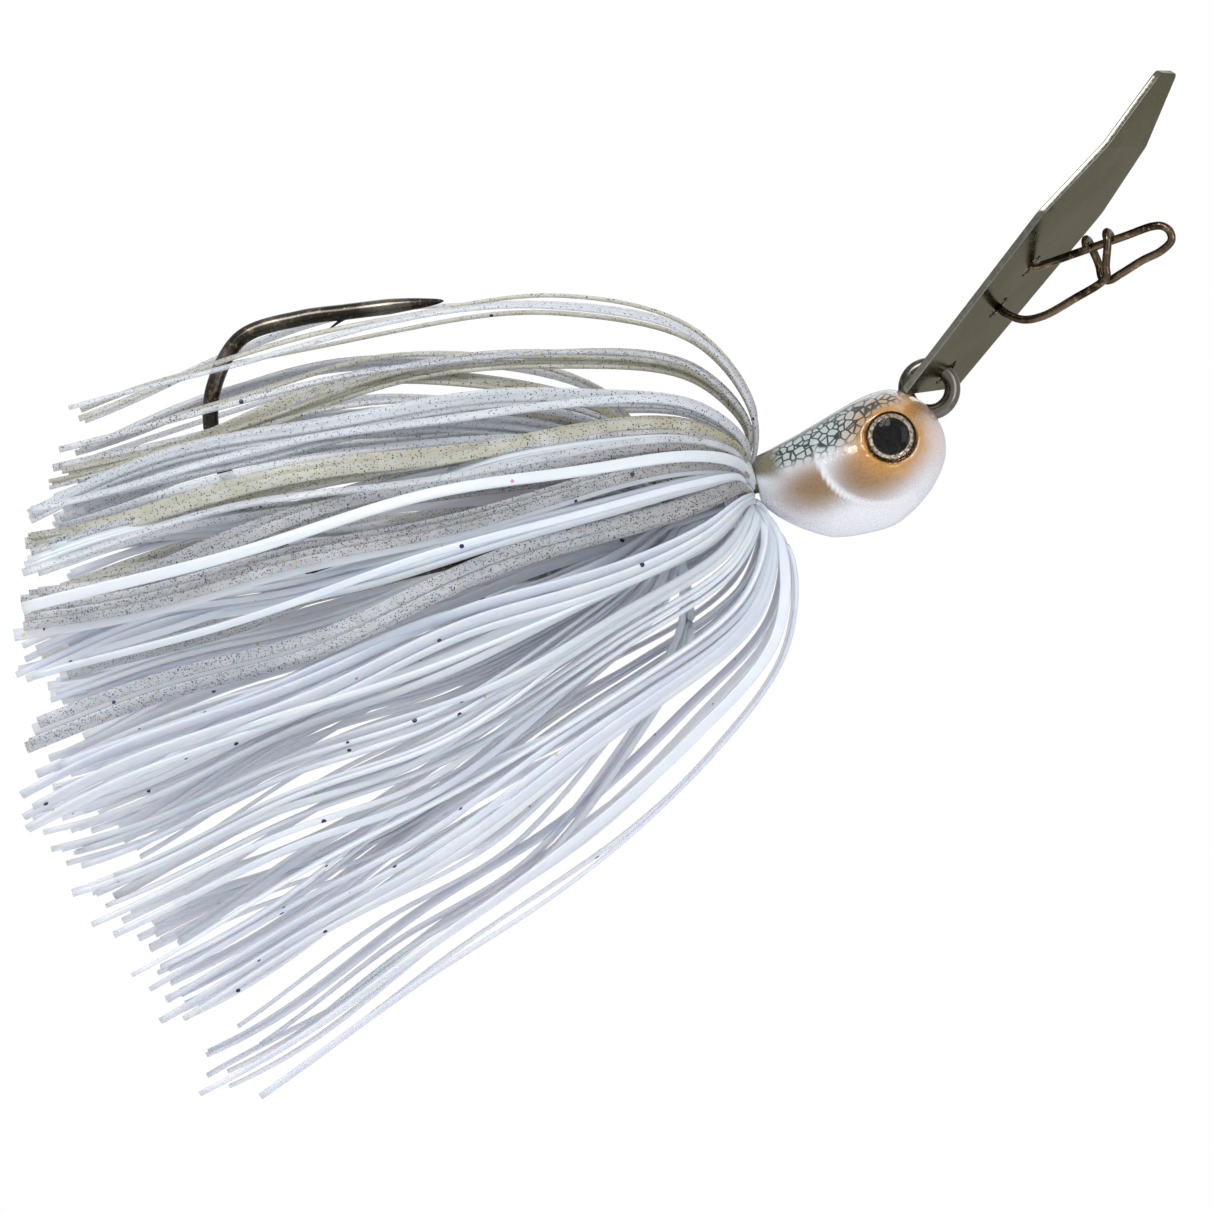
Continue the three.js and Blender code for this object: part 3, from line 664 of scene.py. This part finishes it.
def paint_masks(x, z, height, from_eye, from_gill, arc):
    """How much of each coat, and of the painted highlight along the gill cover's edge, lies at each
    point, from 0 to 1. height runs from 0 at the belly to 1 at the back. Bands across the head are
    steps of height, bands along it are steps of x, and the cheek, the halo round the eye and the
    brow are soft ovals."""
    fore = step(x, 8.5, 11.5)
    back = step(height, 0.66 + 0.17 * fore, 0.80 + 0.11 * fore) * step(x, 1.6, 3.0)
    behind_gill = soft_oval(x, z, (5.0, -1.3), (3.3, 2.1), 1.6)
    behind_gill *= step(from_gill, GILL_RADIUS, GILL_RADIUS + 0.25)
    under_eye = soft_oval(x, z, (9.4, -1.1), (3.3, 2.6), 1.8)
    under_eye *= 1 - step(from_gill, GILL_RADIUS - 0.5, GILL_RADIUS - 0.1)
    halo = np.exp(-(np.maximum(from_eye - EYE_RADIUS, 0) / 1.5) ** 2)
    return {
        "back": back * (1 - step(x, 12.4, 13.6)),
        "ridge": step(height, 0.955, 0.985) * (1 - step(x, 12.5, 13.5)) * 0.85,
        "cheek": np.maximum(behind_gill, under_eye),
        "halo": np.maximum(halo, soft_oval(x, z, (13.6, 2.9), (2.2, 2.4))),
        "nose": step(x, 13.9, 15.6) * (1 - step(z, 2.6, 3.8)) * step(z, -3.6, -1.6) * 0.75,
        "belly": 1 - step(height, 0.14, 0.34),
        "neck": (1 - step(x, 1.8, 3.4)) * step(height, 0.5, 0.72) * 0.9,
        # gill: a painted highlight, a pale line along the gill cover's raised edge
        "gill": np.exp(-((from_gill - GILL_RADIUS - 0.02) / 0.13) ** 2) * arc * 0.9,
    }


def head_surface():
    """Rings along the shank whose top, bottom and half width follow a smooth curve through the
    head's stations. The rings are ellipses. The eye socket is a smooth dent round the eye's
    middle, with a low raised rim, and the gill cover is lifted a little inside an arc behind the
    eye. Gives the surface and the paint's masks."""
    stations = smooth_route(np.vstack([HEAD_RINGS, HEAD_NOSE])[:, 1:], 10)
    along = smooth_route(np.stack([np.append(HEAD_RINGS[:, 0], HEAD_NOSE[0])] * 3, 1), 10)[:, 0]
    top, bottom = stations[:, 0] * HEAD_HEIGHT, stations[:, 1] * HEAD_HEIGHT
    wide = stations[:, 2] * HEAD_WIDTH
    sides = 160
    angle = np.arange(sides) * 2 * np.pi / sides
    sine, cosine = np.sin(angle), np.cos(angle)
    y = wide[:, None] * sine
    z = ((top + bottom) / 2)[:, None] + ((top - bottom) / 2)[:, None] * cosine
    x = np.broadcast_to((NECK_END + along * HEAD_LENGTH)[:, None], y.shape)

    # the gill cover and the eye's rim, only where the head is wide enough to carry them
    from_eye = np.hypot(x - EYE_PLACE[0], z - EYE_PLACE[1])
    from_gill = np.hypot(x - GILL_PLACE[0], (z - GILL_PLACE[1]) * 1.02)
    arc = gill_arc(x, z)
    lift = 0.16 * (1 - step(from_gill, GILL_RADIUS - 0.05, GILL_RADIUS + 0.22)) * arc
    rim = 0.14 * np.exp(-((from_eye - EYE_RADIUS - 0.28) / 0.2) ** 2)
    side = np.sign(sine)[None, :] * np.ones_like(y)
    y = y + side * (lift + rim) * step(np.abs(y), 1.0, 2.2)

    # the socket's flat floor
    floor = HEAD_WIDTH / 2 - EYE_DEPTH - 0.05
    socket = 1 - step(from_eye, EYE_RADIUS + 0.02, EYE_RADIUS + 0.2)
    near_floor = (np.abs(y) > floor - 1.2) & (np.abs(y) > 1.5)
    y = np.where(near_floor, y * (1 - socket) + side * floor * socket, y)
    ends = [[x[0, 0], 0, z[0].mean()], [x[-1, 0], 0, z[-1].mean()]]
    points = np.vstack([np.stack([x, y, z], -1).reshape(-1, 3), ends])

    height = np.clip((z - bottom[:, None]) / np.maximum(top - bottom, 0.01)[:, None], 0, 1)
    masks = {word: np.append(mask.reshape(-1), [mask[0].mean(), mask[-1].mean()])
             for word, mask in paint_masks(x, z, height, from_eye, from_gill, arc).items()}
    return (jig(points), tube_faces(len(along), sides)), masks


# ---- eyes ----
def round_plate(radii, heights, side, floor):
    """Rings round the eye's middle, each at its radius and height over the socket's floor,
    closed by a middle point at both ends. Also gives each point's share of the eye's radius."""
    sides = 72
    angle = np.arange(sides) * 2 * np.pi / sides
    radii, heights = np.asarray(radii, float), np.asarray(heights, float)
    rings = np.stack([
        EYE_PLACE[0] + radii[:, None] * np.cos(angle),
        np.broadcast_to(side * (floor + heights)[:, None], (len(radii), sides)),
        EYE_PLACE[1] + side * radii[:, None] * np.sin(angle),
    ], -1)
    ends = np.stack([rings[0].mean(0), rings[-1].mean(0)])
    points = np.vstack([rings.reshape(-1, 3), ends])
    share = np.append(np.repeat(radii, sides), [0.0, 0.0]) / EYE_RADIUS
    faces = [polygon[::-1] for polygon in tube_faces(len(radii), sides)]
    return (jig(points), faces), share


def foil_profile():
    """Radii and heights of the printed disc: a flat back, and a face slightly cupped by one less
    the square of the radius."""
    inner = np.linspace(0.02, EYE_RADIUS, 26)
    face = GAP + FOIL_THICK - 0.05 * (1 - (inner / EYE_RADIUS) ** 2)
    radii = np.concatenate([inner * 0.999, [EYE_RADIUS], inner[::-1]])
    heights = np.concatenate([np.full(26, GAP), [GAP + FOIL_THICK * 0.6], face[::-1]])
    return radii, heights


def dome_profile():
    """Radii and heights of the resin: a flat back, a short wall, and over it a cap of a sphere,
    whose radius follows the sine of the lean and whose height follows the cosine."""
    under, rise = FOIL_THICK + 2 * GAP, DOME_HEIGHT - DOME_WALL
    sphere = (EYE_RADIUS**2 + rise**2) / (2 * rise)
    lean = np.linspace(math.asin(EYE_RADIUS / sphere), 0.005, 22)
    cap = under + DOME_HEIGHT - sphere * (1 - np.cos(lean))
    radii = np.concatenate([EYE_RADIUS * np.linspace(0.01, 1, 12), sphere * np.sin(lean)])
    return radii, np.concatenate([np.full(12, under), cap])


def eye_pieces():
    """The printed disc and the resin dome over it, on both sides of the head."""
    floor = HEAD_WIDTH / 2 - EYE_DEPTH
    print_material, resin = eye_print(), dome_resin()
    for word, side in (("left", 1), ("right", -1)):
        surface, share = round_plate(*foil_profile(), side, floor)
        make_piece(f"eye_print_{word}", surface, print_material, "jig",
                   (f"eye_foil_{word}",), {"radius": share})
        surface, _ = round_plate(*dome_profile(), side, floor)
        make_piece(f"eye_resin_{word}", surface, resin, "jig",
                   (f"eye_dome_{word}",))


# ---- snap ----
def snap_surface():
    """The snap's one wire: from a hook over the upper leg, down to the lower leg, round the nose,
    back along the upper leg, through both holes and along the lower leg to the second hook."""
    low = np.array([0, SNAP_REACH - 0.55, SNAP_STAND - 1.0])
    leg_start = np.array([0, SNAP_SPACING / 2 + 0.9, 1.05])
    way = unit(leg_start - low)
    out = np.array([0, -way[2], way[1]])
    over = SNAP_WIRE + GAP

    def on_leg(distance, away, across):
        """A point beside the upper leg."""
        return low + way * distance + out * away + np.array([across, 0, 0])

    def over_leg(distance):
        """Half a turn over the upper leg, in five points."""
        return [on_leg(distance, over * math.sin(angle), -over * math.cos(angle))
                for angle in np.arange(5) * np.pi / 4]

    half, nose, stand, beside = SNAP_SPACING / 2, SNAP_REACH, SNAP_STAND, SNAP_WIRE / 2 + GAP * 0.8
    route = smooth_route([
        *over_leg(5.5),
        [over, nose * 0.49, stand * 0.62], [beside + 0.15, nose * 0.435, stand * 0.765],
        [beside, nose * 0.46, stand * 0.84], [beside, nose * 0.55, stand * 0.9],
        [beside * 0.7, nose * 0.72, stand], [0, nose * 0.86, stand + 0.75],
        [0, nose - 0.45, stand + 0.85],
        [0, nose, stand + 0.3], [0, nose - 0.05, stand - 0.4], low,
        on_leg(2.4, 0, 0), on_leg(4.8, 0, 0), on_leg(7.2, 0, 0), leg_start,
        [0, half + 0.15, 0.5], [0, half, 0], [0, half - 0.05, -0.6], [0, half - 0.5, -1.15],
        [0, 0, -1.25],
        [0, -half + 0.5, -1.15], [0, -half + 0.05, -0.6], [0, -half, 0], [0, -half + 0.05, 1.2],
        [-0.1, -half + 0.6, 2.5], [-0.25, -half + 1.9, stand * 0.52],
        [-beside, nose * 0.23, stand * 0.69],
        [-beside, nose * 0.42, stand * 0.805], [-beside - 0.05, nose * 0.485, stand * 0.81],
        [-beside - 0.2, nose * 0.535, stand * 0.74],
        *over_leg(3.7),
    ], 12)
    points, faces = sweep(route, SNAP_WIRE, SNAP_WIRE, np.array([0.93, 0.21, -0.3]), 18)
    return snap_place(points), faces


# ---- trailer keeper ----
def keeper_surface(up):
    """A light wire along the shank whose end turns back as a barb ground to a point."""
    lie = HOOK_WIRE / 2 + KEEPER_WIRE / 2 + GAP
    spread = 0.25 if up > 0 else 1.9
    end, rise = -KEEPER_LENGTH, lie + spread
    route = smooth_route([
        [-0.1, 0, up * lie], [-4.5, 0, up * lie], [end * 0.48, 0, up * (lie + 0.6)],
        [end * 0.8, 0, up * rise],
        [end, 0, up * rise], [end - 0.35, 0, up * (rise + KEEPER_BARB * 0.4)],
        [end + 0.1, 0, up * (rise + KEEPER_BARB * 0.8)], [end + 1.5, 0, up * (rise + KEEPER_BARB)],
    ], 16)
    width = KEEPER_WIRE * np.clip(np.arange(len(route))[::-1] / 14, 0.1, 1)
    points, faces = sweep(route, width, width, ACROSS, 14)
    return jig(points), faces


# ---- blade ----
def rounded_corners(corners, radius, arc=6):
    """A closed outline whose corners are cut by arcs: each is a quadratic curve between the two
    points one radius away from the corner, drawn towards the corner."""
    points = []
    corners = np.asarray(corners, float)
    for before, here, after in zip(np.roll(corners, 1, 0), corners, np.roll(corners, -1, 0)):
        start = here + unit(before - here) * radius
        end = here + unit(after - here) * radius
        for t in np.linspace(0, 1, arc):
            points.append((1 - t) ** 2 * start + 2 * t * (1 - t) * here + t**2 * end)
    return np.array(points)


def inset(loop, distance):
    """A closed outline moved to its left by a distance: inwards when it runs anticlockwise."""
    ahead = unit(np.roll(loop, -1, 0) - loop)
    behind = unit(loop - np.roll(loop, 1, 0))
    left = unit(ahead + behind) @ np.array([[0.0, 1.0], [-1.0, 0.0]])
    return loop + left * distance


def blade_outlines():
    """The plate's long hexagon with rounded corners, anticlockwise, then its three round holes,
    clockwise. Also gives the place in the hexagon of the bend line's second end."""
    end, wide, shoulder, tip = BLADE_END_WIDTH / 2, BLADE_WIDTH / 2, BLADE_SHOULDER, BLADE_TIP_HALF
    top = BLADE_LENGTH + BLADE_TIP
    rounded = rounded_corners([
        [-shoulder, BLADE_LENGTH], [-wide, BLADE_WIDEST], [-end, 0], [end, 0],
        [wide, BLADE_WIDEST], [shoulder, BLADE_LENGTH], [tip, top], [-tip, top],
    ], BLADE_CORNER)
    arc = len(rounded) // 8
    # the bend line's two ends stay single points
    loops = [np.vstack([[[-shoulder, BLADE_LENGTH]], rounded[arc:5 * arc],
                        [[shoulder, BLADE_LENGTH]], rounded[6 * arc:]])]
    angle = -np.linspace(0, 2 * np.pi, 41)[:-1]
    for along, radius in BLADE_HOLES:
        loops.append(np.stack([radius * np.cos(angle), along + radius * np.sin(angle)], 1))
    return loops, 4 * arc + 1


def edge_strip(loop, start):
    """The rounded edge along one outline, a strip whose section is half a stadium: the inset is
    the edge's radius times one less the sine of an angle, and the height follows the cosine.
    Its points are numbered from start."""
    swing = np.linspace(0, np.pi / 2, 5)
    insets = BLADE_EDGE * (1 - np.sin(swing))
    heights = BLADE_THICK / 2 - BLADE_EDGE + BLADE_EDGE * np.cos(swing)
    insets, heights = np.append(insets, insets[::-1]), np.append(heights, -heights[::-1])
    count, rows = len(loop), len(insets)
    points = np.vstack([np.column_stack([inset(loop, move), np.full(count, height)])
                        for move, height in zip(insets, heights)])
    i, j = np.meshgrid(np.arange(rows - 1), np.arange(count), indexing="ij")
    k = (j + 1) % count
    faces = np.stack([i * count + j, (i + 1) * count + j, (i + 1) * count + k, i * count + k], -1)
    return points, start + faces.reshape(-1, 4)


def flat_faces(places, upper, lower, edges):
    """The flats cut into triangles between the outlines, with every edge kept. A triangle whose
    middle is in a hole is left out. The upper flat's triangles run anticlockwise, and the lower
    flat has the same ones turned over."""
    cut = delaunay_2d_cdt([Vector(place) for place in places], edges, [], 0, 1e-7)
    triangles = np.array(cut[2])
    middle = places[triangles].mean(1)
    for along, radius in BLADE_HOLES:
        outside = np.hypot(middle[:, 0], middle[:, 1] - along) >= radius
        triangles, middle = triangles[outside], middle[outside]
    a, b, c = (places[triangles[:, corner]] for corner in range(3))
    area = (b[:, 0] - a[:, 0]) * (c[:, 1] - a[:, 1]) - (b[:, 1] - a[:, 1]) * (c[:, 0] - a[:, 0])
    triangles[area < 0] = triangles[area < 0, ::-1]
    return np.stack([upper[triangles], lower[triangles][:, ::-1]], 1).reshape(-1, 3)


def blade_surface():
    """A plate with rounded edges: a strip along its outline and one round each hole, and flats
    between the strips. All above the bend is turned back about the bend line. Gives the points,
    the faces and whether each face is smooth."""
    loops, bend_at = blade_outlines()
    points, strips, edges, upper, lower = [], [], [], [], []
    start = begin = 0
    for loop in loops:
        count = len(loop)
        strip, faces = edge_strip(loop, start)
        points.append(strip)
        strips += faces.tolist()
        upper.append(start + np.arange(count))
        lower.append(start + len(strip) - count + np.arange(count))
        edges += [(begin + j, begin + (j + 1) % count) for j in range(count)]
        start, begin = start + len(strip), begin + count
    points, upper, lower = np.vstack(points), np.concatenate(upper), np.concatenate(lower)
    edges.append((0, bend_at))
    flats = flat_faces(points[upper, :2], upper, lower, edges).tolist()

    turn = math.radians(-BLADE_BEND)
    above = points[:, 1] > BLADE_LENGTH
    rise, out = points[above, 1] - BLADE_LENGTH, points[above, 2].copy()
    points[above, 1] = BLADE_LENGTH + rise * math.cos(turn) - out * math.sin(turn)
    points[above, 2] = rise * math.sin(turn) + out * math.cos(turn)
    points[:, 1] -= SNAP_FROM_END
    smooth = [True] * len(strips) + [False] * len(flats)
    return snap_place(points), strips + flats, smooth


def blade_piece():
    """The hexagonal blade in polished nickel."""
    points, faces, smooth = blade_surface()
    make_piece("hex_blade", (points, faces), blade_nickel(), "blade",
               ("blade",), smooth=smooth)


# ---- skirt ----
# five guides from the top of the skirt to its bottom, each through six stations from root to tip,
# as back and up in shares of the reach
GUIDES = np.array([
    [[0.01, 0.107], [-0.069, 0.23], [-0.262, 0.288],
     [-0.497, 0.27], [-0.717, 0.209], [-0.928, 0.13]],
    [[-0.007, 0.066], [-0.083, 0.128], [-0.262, 0.141],
     [-0.483, 0.121], [-0.731, 0.072], [-0.972, -0.003]],
    [[-0.021, 0.031], [-0.097, 0.038], [-0.29, 0.003],
     [-0.51, -0.045], [-0.745, -0.1], [-0.99, -0.169]],
    [[-0.007, -0.045], [-0.05, -0.112], [-0.225, -0.215],
     [-0.45, -0.32], [-0.71, -0.43], [-0.975, -0.545]],
    [[0.062, -0.1], [0.066, -0.249], [-0.034, -0.414],
     [-0.238, -0.606], [-0.439, -0.767], [-0.668, -0.937]],
])
# at each station, the share of the spread and of the clearance from the hook's plane
SPREAD_SHARE = np.array([0.3, 0.5, 0.72, 0.86, 0.94, 1.0])
CLEAR_SHARE = np.array([0.35, 0.7, 1.0, 1.0, 1.0, 1.0])
INNER_RING = HOOK_WIRE / 2 + KEEPER_WIRE / 2 + STRAND_ROOM / 2 + 0.1
OUTER_RING = INNER_RING + STRAND_ROOM + 0.05


def stations(down, layer, side):
    """The six stations of a half strand: down goes from 0 at the top guide to 1 at the bottom,
    layer from 0 at the skirt's core to 1 outside, and the half width is a sine of down."""
    row = min(int(down * 4), 3)
    share = down * 4 - row
    plane = GUIDES[row] * (1 - share) + GUIDES[row + 1] * share
    plane = SKIRT_REACH * (GUIDES[2] + (plane - GUIDES[2]) * layer)
    out = HOOK_CLEAR * CLEAR_SHARE + SKIRT_SPREAD * SPREAD_SHARE * layer * math.sin(math.pi * down)
    return np.stack([plane[:, 0], side * out, plane[:, 1]], 1)


def root_point(along, radius, angle, side):
    """A point round the shank, its angle measured from the top."""
    return along * FORWARD + radius * (math.cos(angle) * UPWARD + side * math.sin(angle) * ACROSS)


UNDER_TIE = 6              # which of a strand's points lies under the tie


def strand_points(ring, angle, down, side, front, rear, turn, trim):
    """A whole strand from the rear half's tip, under the tie, and round to the front half's tip.
    front and rear are the two halves' layers, and turn is where the front half folds back."""
    back = stations(down, rear, side)
    fore = stations(down, front, side)
    back[5] += (back[4] - back[5]) * trim
    fore[5] += (fore[4] - fore[5]) * (0.25 - trim) * FRONT_TRIM
    flare = root_point(FLARE_ALONG, ring * 1.2, angle, side)
    between = back[2] + (flare - back[2]) * 0.4
    return np.vstack([
        back[5], back[4], back[3], between, flare, root_point(GATHER_ALONG, ring, angle, side),
        root_point(TIE_ALONG, ring, angle, side), root_point(turn, ring, angle, side), fore,
    ])


def strand_surface(points, random, lay, wander):
    """A rounded strip along a smooth route. It wanders sideways by two slow sines that grow from
    the tie outwards, rolls slowly about its length, and narrows where the tie squeezes it. Also
    gives how near each point is to the root, the exponential of minus the distance from the tie."""
    route = smooth_route(points, 12)
    gone = distance_along(route)
    tie = np.argmin(np.linalg.norm(route - points[UNDER_TIE], axis=1))
    away = np.abs(gone - gone[tie])
    grow = step(away, 4.0, 42.0)
    phases = lay.uniform(0, 2 * np.pi, 6)
    waves = [np.sin(away / lay.uniform(9, 15) + phases[i])
             + 0.6 * np.sin(away / 5.2 + phases[i + 3]) for i in range(3)]
    route = route + wander * grow[:, None] * np.stack(waves, 1) * np.array([0.3, 1.0, 1.0])
    # the flat of the strip faces out from the middle guide, and then rolls
    core = SKIRT_REACH * np.stack([GUIDES[2, :, 0], np.zeros(6), GUIDES[2, :, 1]], 1)
    middle = np.stack([np.interp(-route[:, 0], -core[:, 0], core[:, i]) for i in range(3)], 1)
    outward = unit(route - middle + 0.02 * ACROSS)
    tangent = unit(np.gradient(route, axis=0))
    roll = lay.uniform(-0.5, 0.5) + lay.uniform(-0.7, 0.7) * np.sin(away / lay.uniform(12, 22))
    side = unit(np.cross(outward, tangent))
    outward = outward * np.cos(roll)[:, None] + side * np.sin(roll)[:, None]
    squeeze = 0.62 + 0.38 * step(away, 1.0, 9.0)
    wide = STRAND_WIDE * random.choice([0.8, 1.0, 1.0, 1.15, 1.5]) * squeeze
    thick = STRAND_THICK * (0.8 + 0.2 * squeeze)
    surface, faces = sweep(route, wide, thick, outward, STRAND_SIDES, 0.55)
    root = np.exp(-away / 13.0)
    root = np.append(np.repeat(root, STRAND_SIDES), [root[0], root[-1]])
    return (COLLAR + surface, faces), root


def strand_kind(down, random):
    """Pearl below, and grey, olive or silver above, mixed where they meet."""
    if down + random.uniform(-0.16, 0.16) > 0.53:
        return "pearl"
    return random.choice(["grey", "grey", "olive", "silver"])


def add_strand(name, points, random, lay, wander, material, replaces=()):
    """One strand in its silicone, with a tone of its own."""
    surface, root = strand_surface(points, random, lay, wander)
    values = {"root": root, "tone": np.full(len(root), random.uniform(0, 1))}
    make_piece(name, surface, material, "jig", replaces, values)


def silicones():
    """The four silicones: pale and deep tint, pepper, foil, the share of flecks and the alpha."""
    return {
        "grey": strand_silicone(
            "grey_silicone", (0.68, 0.70, 0.745), (0.22, 0.19, 0.135),
            (0.03, 0.03, 0.034), (0.62, 0.48, 0.2), 0.5, 0.62),
        "olive": strand_silicone(
            "olive_silicone", (0.66, 0.66, 0.56), (0.26, 0.21, 0.11),
            (0.05, 0.045, 0.03), (0.70, 0.55, 0.16), 0.34, 0.64),
        "silver": strand_silicone(
            "silver_silicone", (0.82, 0.85, 0.90), (0.42, 0.42, 0.42),
            (0.06, 0.06, 0.09), (0.25, 0.55, 0.60), 0.24, 0.55),
        "pearl": pearl_silicone(),
    }


def held_strands(random, materials):
    """The strands of both rings under the tie, each in place of its own solid. Gives how many."""
    number = 0
    rings = (
        (INNER_STRANDS, 0.07, dict(ring=INNER_RING, front=1.0, rear=0.56, turn=0.0)),
        (OUTER_STRANDS, 0.0, dict(ring=OUTER_RING, front=0.9, rear=0.72, turn=-0.8)),
    )
    for side in (-1, 1):
        for count, edge, layer in rings:
            for i in range(count):
                number += 1
                down = edge + (1 - 2 * edge) * i / (count - 1)
                points = strand_points(
                    angle=math.pi * (i + 0.5) / count, down=down, side=side,
                    trim=(number * 7 % 11) / 44, **layer)
                kind = strand_kind(down, random)
                add_strand(f"strand_{number:02d}", points, random, random, 0.55,
                           materials[kind], (f"skirt_strand_{number:02d}",))
    return number


def lock_strands(random, materials, number):
    """More strands between them, in locks whose strands share their waves and mostly their
    silicone. The locks go down both sides by turns, closer together towards the bottom."""
    for lock in range(LOCKS):
        side = -1 if lock % 2 else 1
        middle = ((lock // 2 + random.uniform(0.15, 0.65)) / (LOCKS / 2)) ** 0.62
        front, rear = random.uniform(0.68, 0.9), random.uniform(0.35, 0.85)
        turn, kind = random.uniform(-0.9, 0.1), strand_kind(middle, random)
        for i in range(STRANDS_IN_LOCK):
            number += 1
            down = min(max(middle + LOCK_SPREAD * (i - (STRANDS_IN_LOCK - 1) / 2), 0.0), 1.0)
            points = strand_points(
                ring=random.uniform(INNER_RING, OUTER_RING), angle=math.pi * (0.06 + 0.88 * down),
                down=down, side=side, front=front + random.uniform(-0.03, 0.03),
                rear=rear + random.uniform(-0.04, 0.04), turn=turn, trim=random.uniform(0, 0.28))
            own = strand_kind(middle, random) if random.uniform() < 0.25 else kind
            lay = np.random.default_rng(SEED + lock)
            add_strand(f"strand_{number:03d}", points, random, lay, 1.0, materials[own])


def skirt_pieces():
    """The whole skirt, drawn from one row of random numbers."""
    random, materials = np.random.default_rng(SEED), silicones()
    lock_strands(random, materials, held_strands(random, materials))


def tie_surface():
    """Thread wound round the strands' middles: a helix of close turns, its tail standing out."""
    radius = OUTER_RING + STRAND_ROOM / 2 + GAP + 0.2
    begin = 0.4
    angle = np.linspace(begin, begin + THREAD_TURNS * 2 * np.pi, THREAD_TURNS * 48)
    turned = (angle - begin) / (2 * np.pi) - THREAD_TURNS / 2
    along = TIE_ALONG + turned * THREAD_PITCH
    helix = np.stack([along, -radius * np.sin(angle), radius * np.cos(angle)], 1)
    wound = sweep(helix, THREAD_WIDE, THREAD_THICK, np.array([1.0, 0.02, 0.01]), 10)
    tail = smooth_route(helix[-1] + np.array([
        [0, 0, 0], [0.25, -0.3, 0.25], [0.1, -0.5, 0.9], [-0.5, -0.6, 1.5]]), 10)
    points, faces = joined(wound, sweep(tail, 0.5, 0.2, ACROSS, 10))
    return jig(points), faces


# ---- put together ----
# the last colour of each wire is the tint of its painted glints
black_nickel = plated_wire(
    "black_nickel", (0.05, 0.045, 0.036), (0.20, 0.18, 0.155), (0.33, 0.24, 0.13), 0.16)
snap_nickel = plated_wire(
    "snap_nickel", (0.028, 0.02, 0.014), (0.17, 0.125, 0.08), (0.55, 0.38, 0.17), 0.13)
keeper_steel = plated_wire(
    "keeper_steel", (0.16, 0.16, 0.16), (0.40, 0.40, 0.40), (0.55, 0.55, 0.56), 0.22)

make_piece("hook_wire", hook_surface(), black_nickel, "jig", ("hook",))
head, masks = head_surface()
make_piece("fish_head", head, fish_paint(), "jig", ("head",), masks)
eye_pieces()
make_piece("snap_wire", snap_surface(), snap_nickel, "snap", ("snap",))
for word, up in (("upper", 1), ("lower", -1)):
    make_piece(f"keeper_{word}", keeper_surface(up), keeper_steel, "jig",
               (f"keeper_wire_{word}",))
blade_piece()
skirt_pieces()
make_piece("tie_thread", tie_surface(), white_thread(), "jig", ("skirt_tie",))


# ---- floor, lights and background ----
FLOOR_REACH = 0.16         # half the floor's side, in metres
FLOOR_BELOW = 0.055        # how far under the lure it lies


def make_floor():
    """A plain pale square under the middle of the lure."""
    low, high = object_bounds()
    x, y, z = (low.x + high.x) / 2, (low.y + high.y) / 2, low.z - FLOOR_BELOW
    reach = FLOOR_REACH
    material = new_material("pale_floor", Roughness=0.9, Base_Color=(0.9, 0.9, 0.9, 1))[0]
    mesh = bpy.data.meshes.new("floor")
    mesh.from_pydata([(x - reach, y - reach, z), (x + reach, y - reach, z),
                      (x + reach, y + reach, z), (x - reach, y + reach, z)], [], [(0, 1, 2, 3)])
    floor = bpy.data.objects.new("floor", mesh)
    bpy.context.scene.collection.objects.link(floor)
    mesh.materials.append(material)


def area_light(name, place, size, power, tall=None):
    """A soft rectangle of light, its place given from the middle of the view in metres."""
    data = bpy.data.lights.new(name, "AREA")
    data.energy = power
    data.shape = "RECTANGLE"
    data.size = size
    data.size_y = tall or size
    lamp = bpy.data.objects.new(name, data)
    bpy.context.scene.collection.objects.link(lamp)
    target = Vector((COLLAR + VIEW_FROM_COLLAR) * MM)
    lamp.location = target + Vector(place)
    lamp.rotation_euler = (target - lamp.location).to_track_quat("-Z", "Y").to_euler()


def make_world():
    """White behind the object for the camera, and a softer grey surround for the light."""
    world = bpy.data.worlds.new("studio")
    bpy.context.scene.world = world
    world.use_nodes = True
    tree = world.node_tree
    surround = tree.nodes["Background"]
    surround.inputs["Color"].default_value = (0.93, 0.95, 1.0, 1)
    surround.inputs["Strength"].default_value = 0.62
    plain = node(tree, "ShaderNodeBackground")
    plain.inputs["Color"].default_value = (1, 1, 1, 1)
    plain.inputs["Strength"].default_value = 1.0
    seen = node(tree, "ShaderNodeLightPath")
    both = node(tree, "ShaderNodeMixShader")
    tree.links.new(seen.outputs["Is Camera Ray"], both.inputs[0])
    tree.links.new(surround.outputs[0], both.inputs[1])
    tree.links.new(plain.outputs[0], both.inputs[2])
    tree.links.new(both.outputs[0], tree.nodes["World Output"].inputs["Surface"])


make_floor()
make_world()
area_light("key", (-0.10, -0.35, 0.32), 0.22, 1.2)
area_light("fill", (0.30, -0.30, 0.05), 0.18, 0.35, 0.3)
area_light("rim", (0.05, 0.30, 0.25), 0.25, 0.18)
bpy.context.scene.view_settings.view_transform = "Standard"
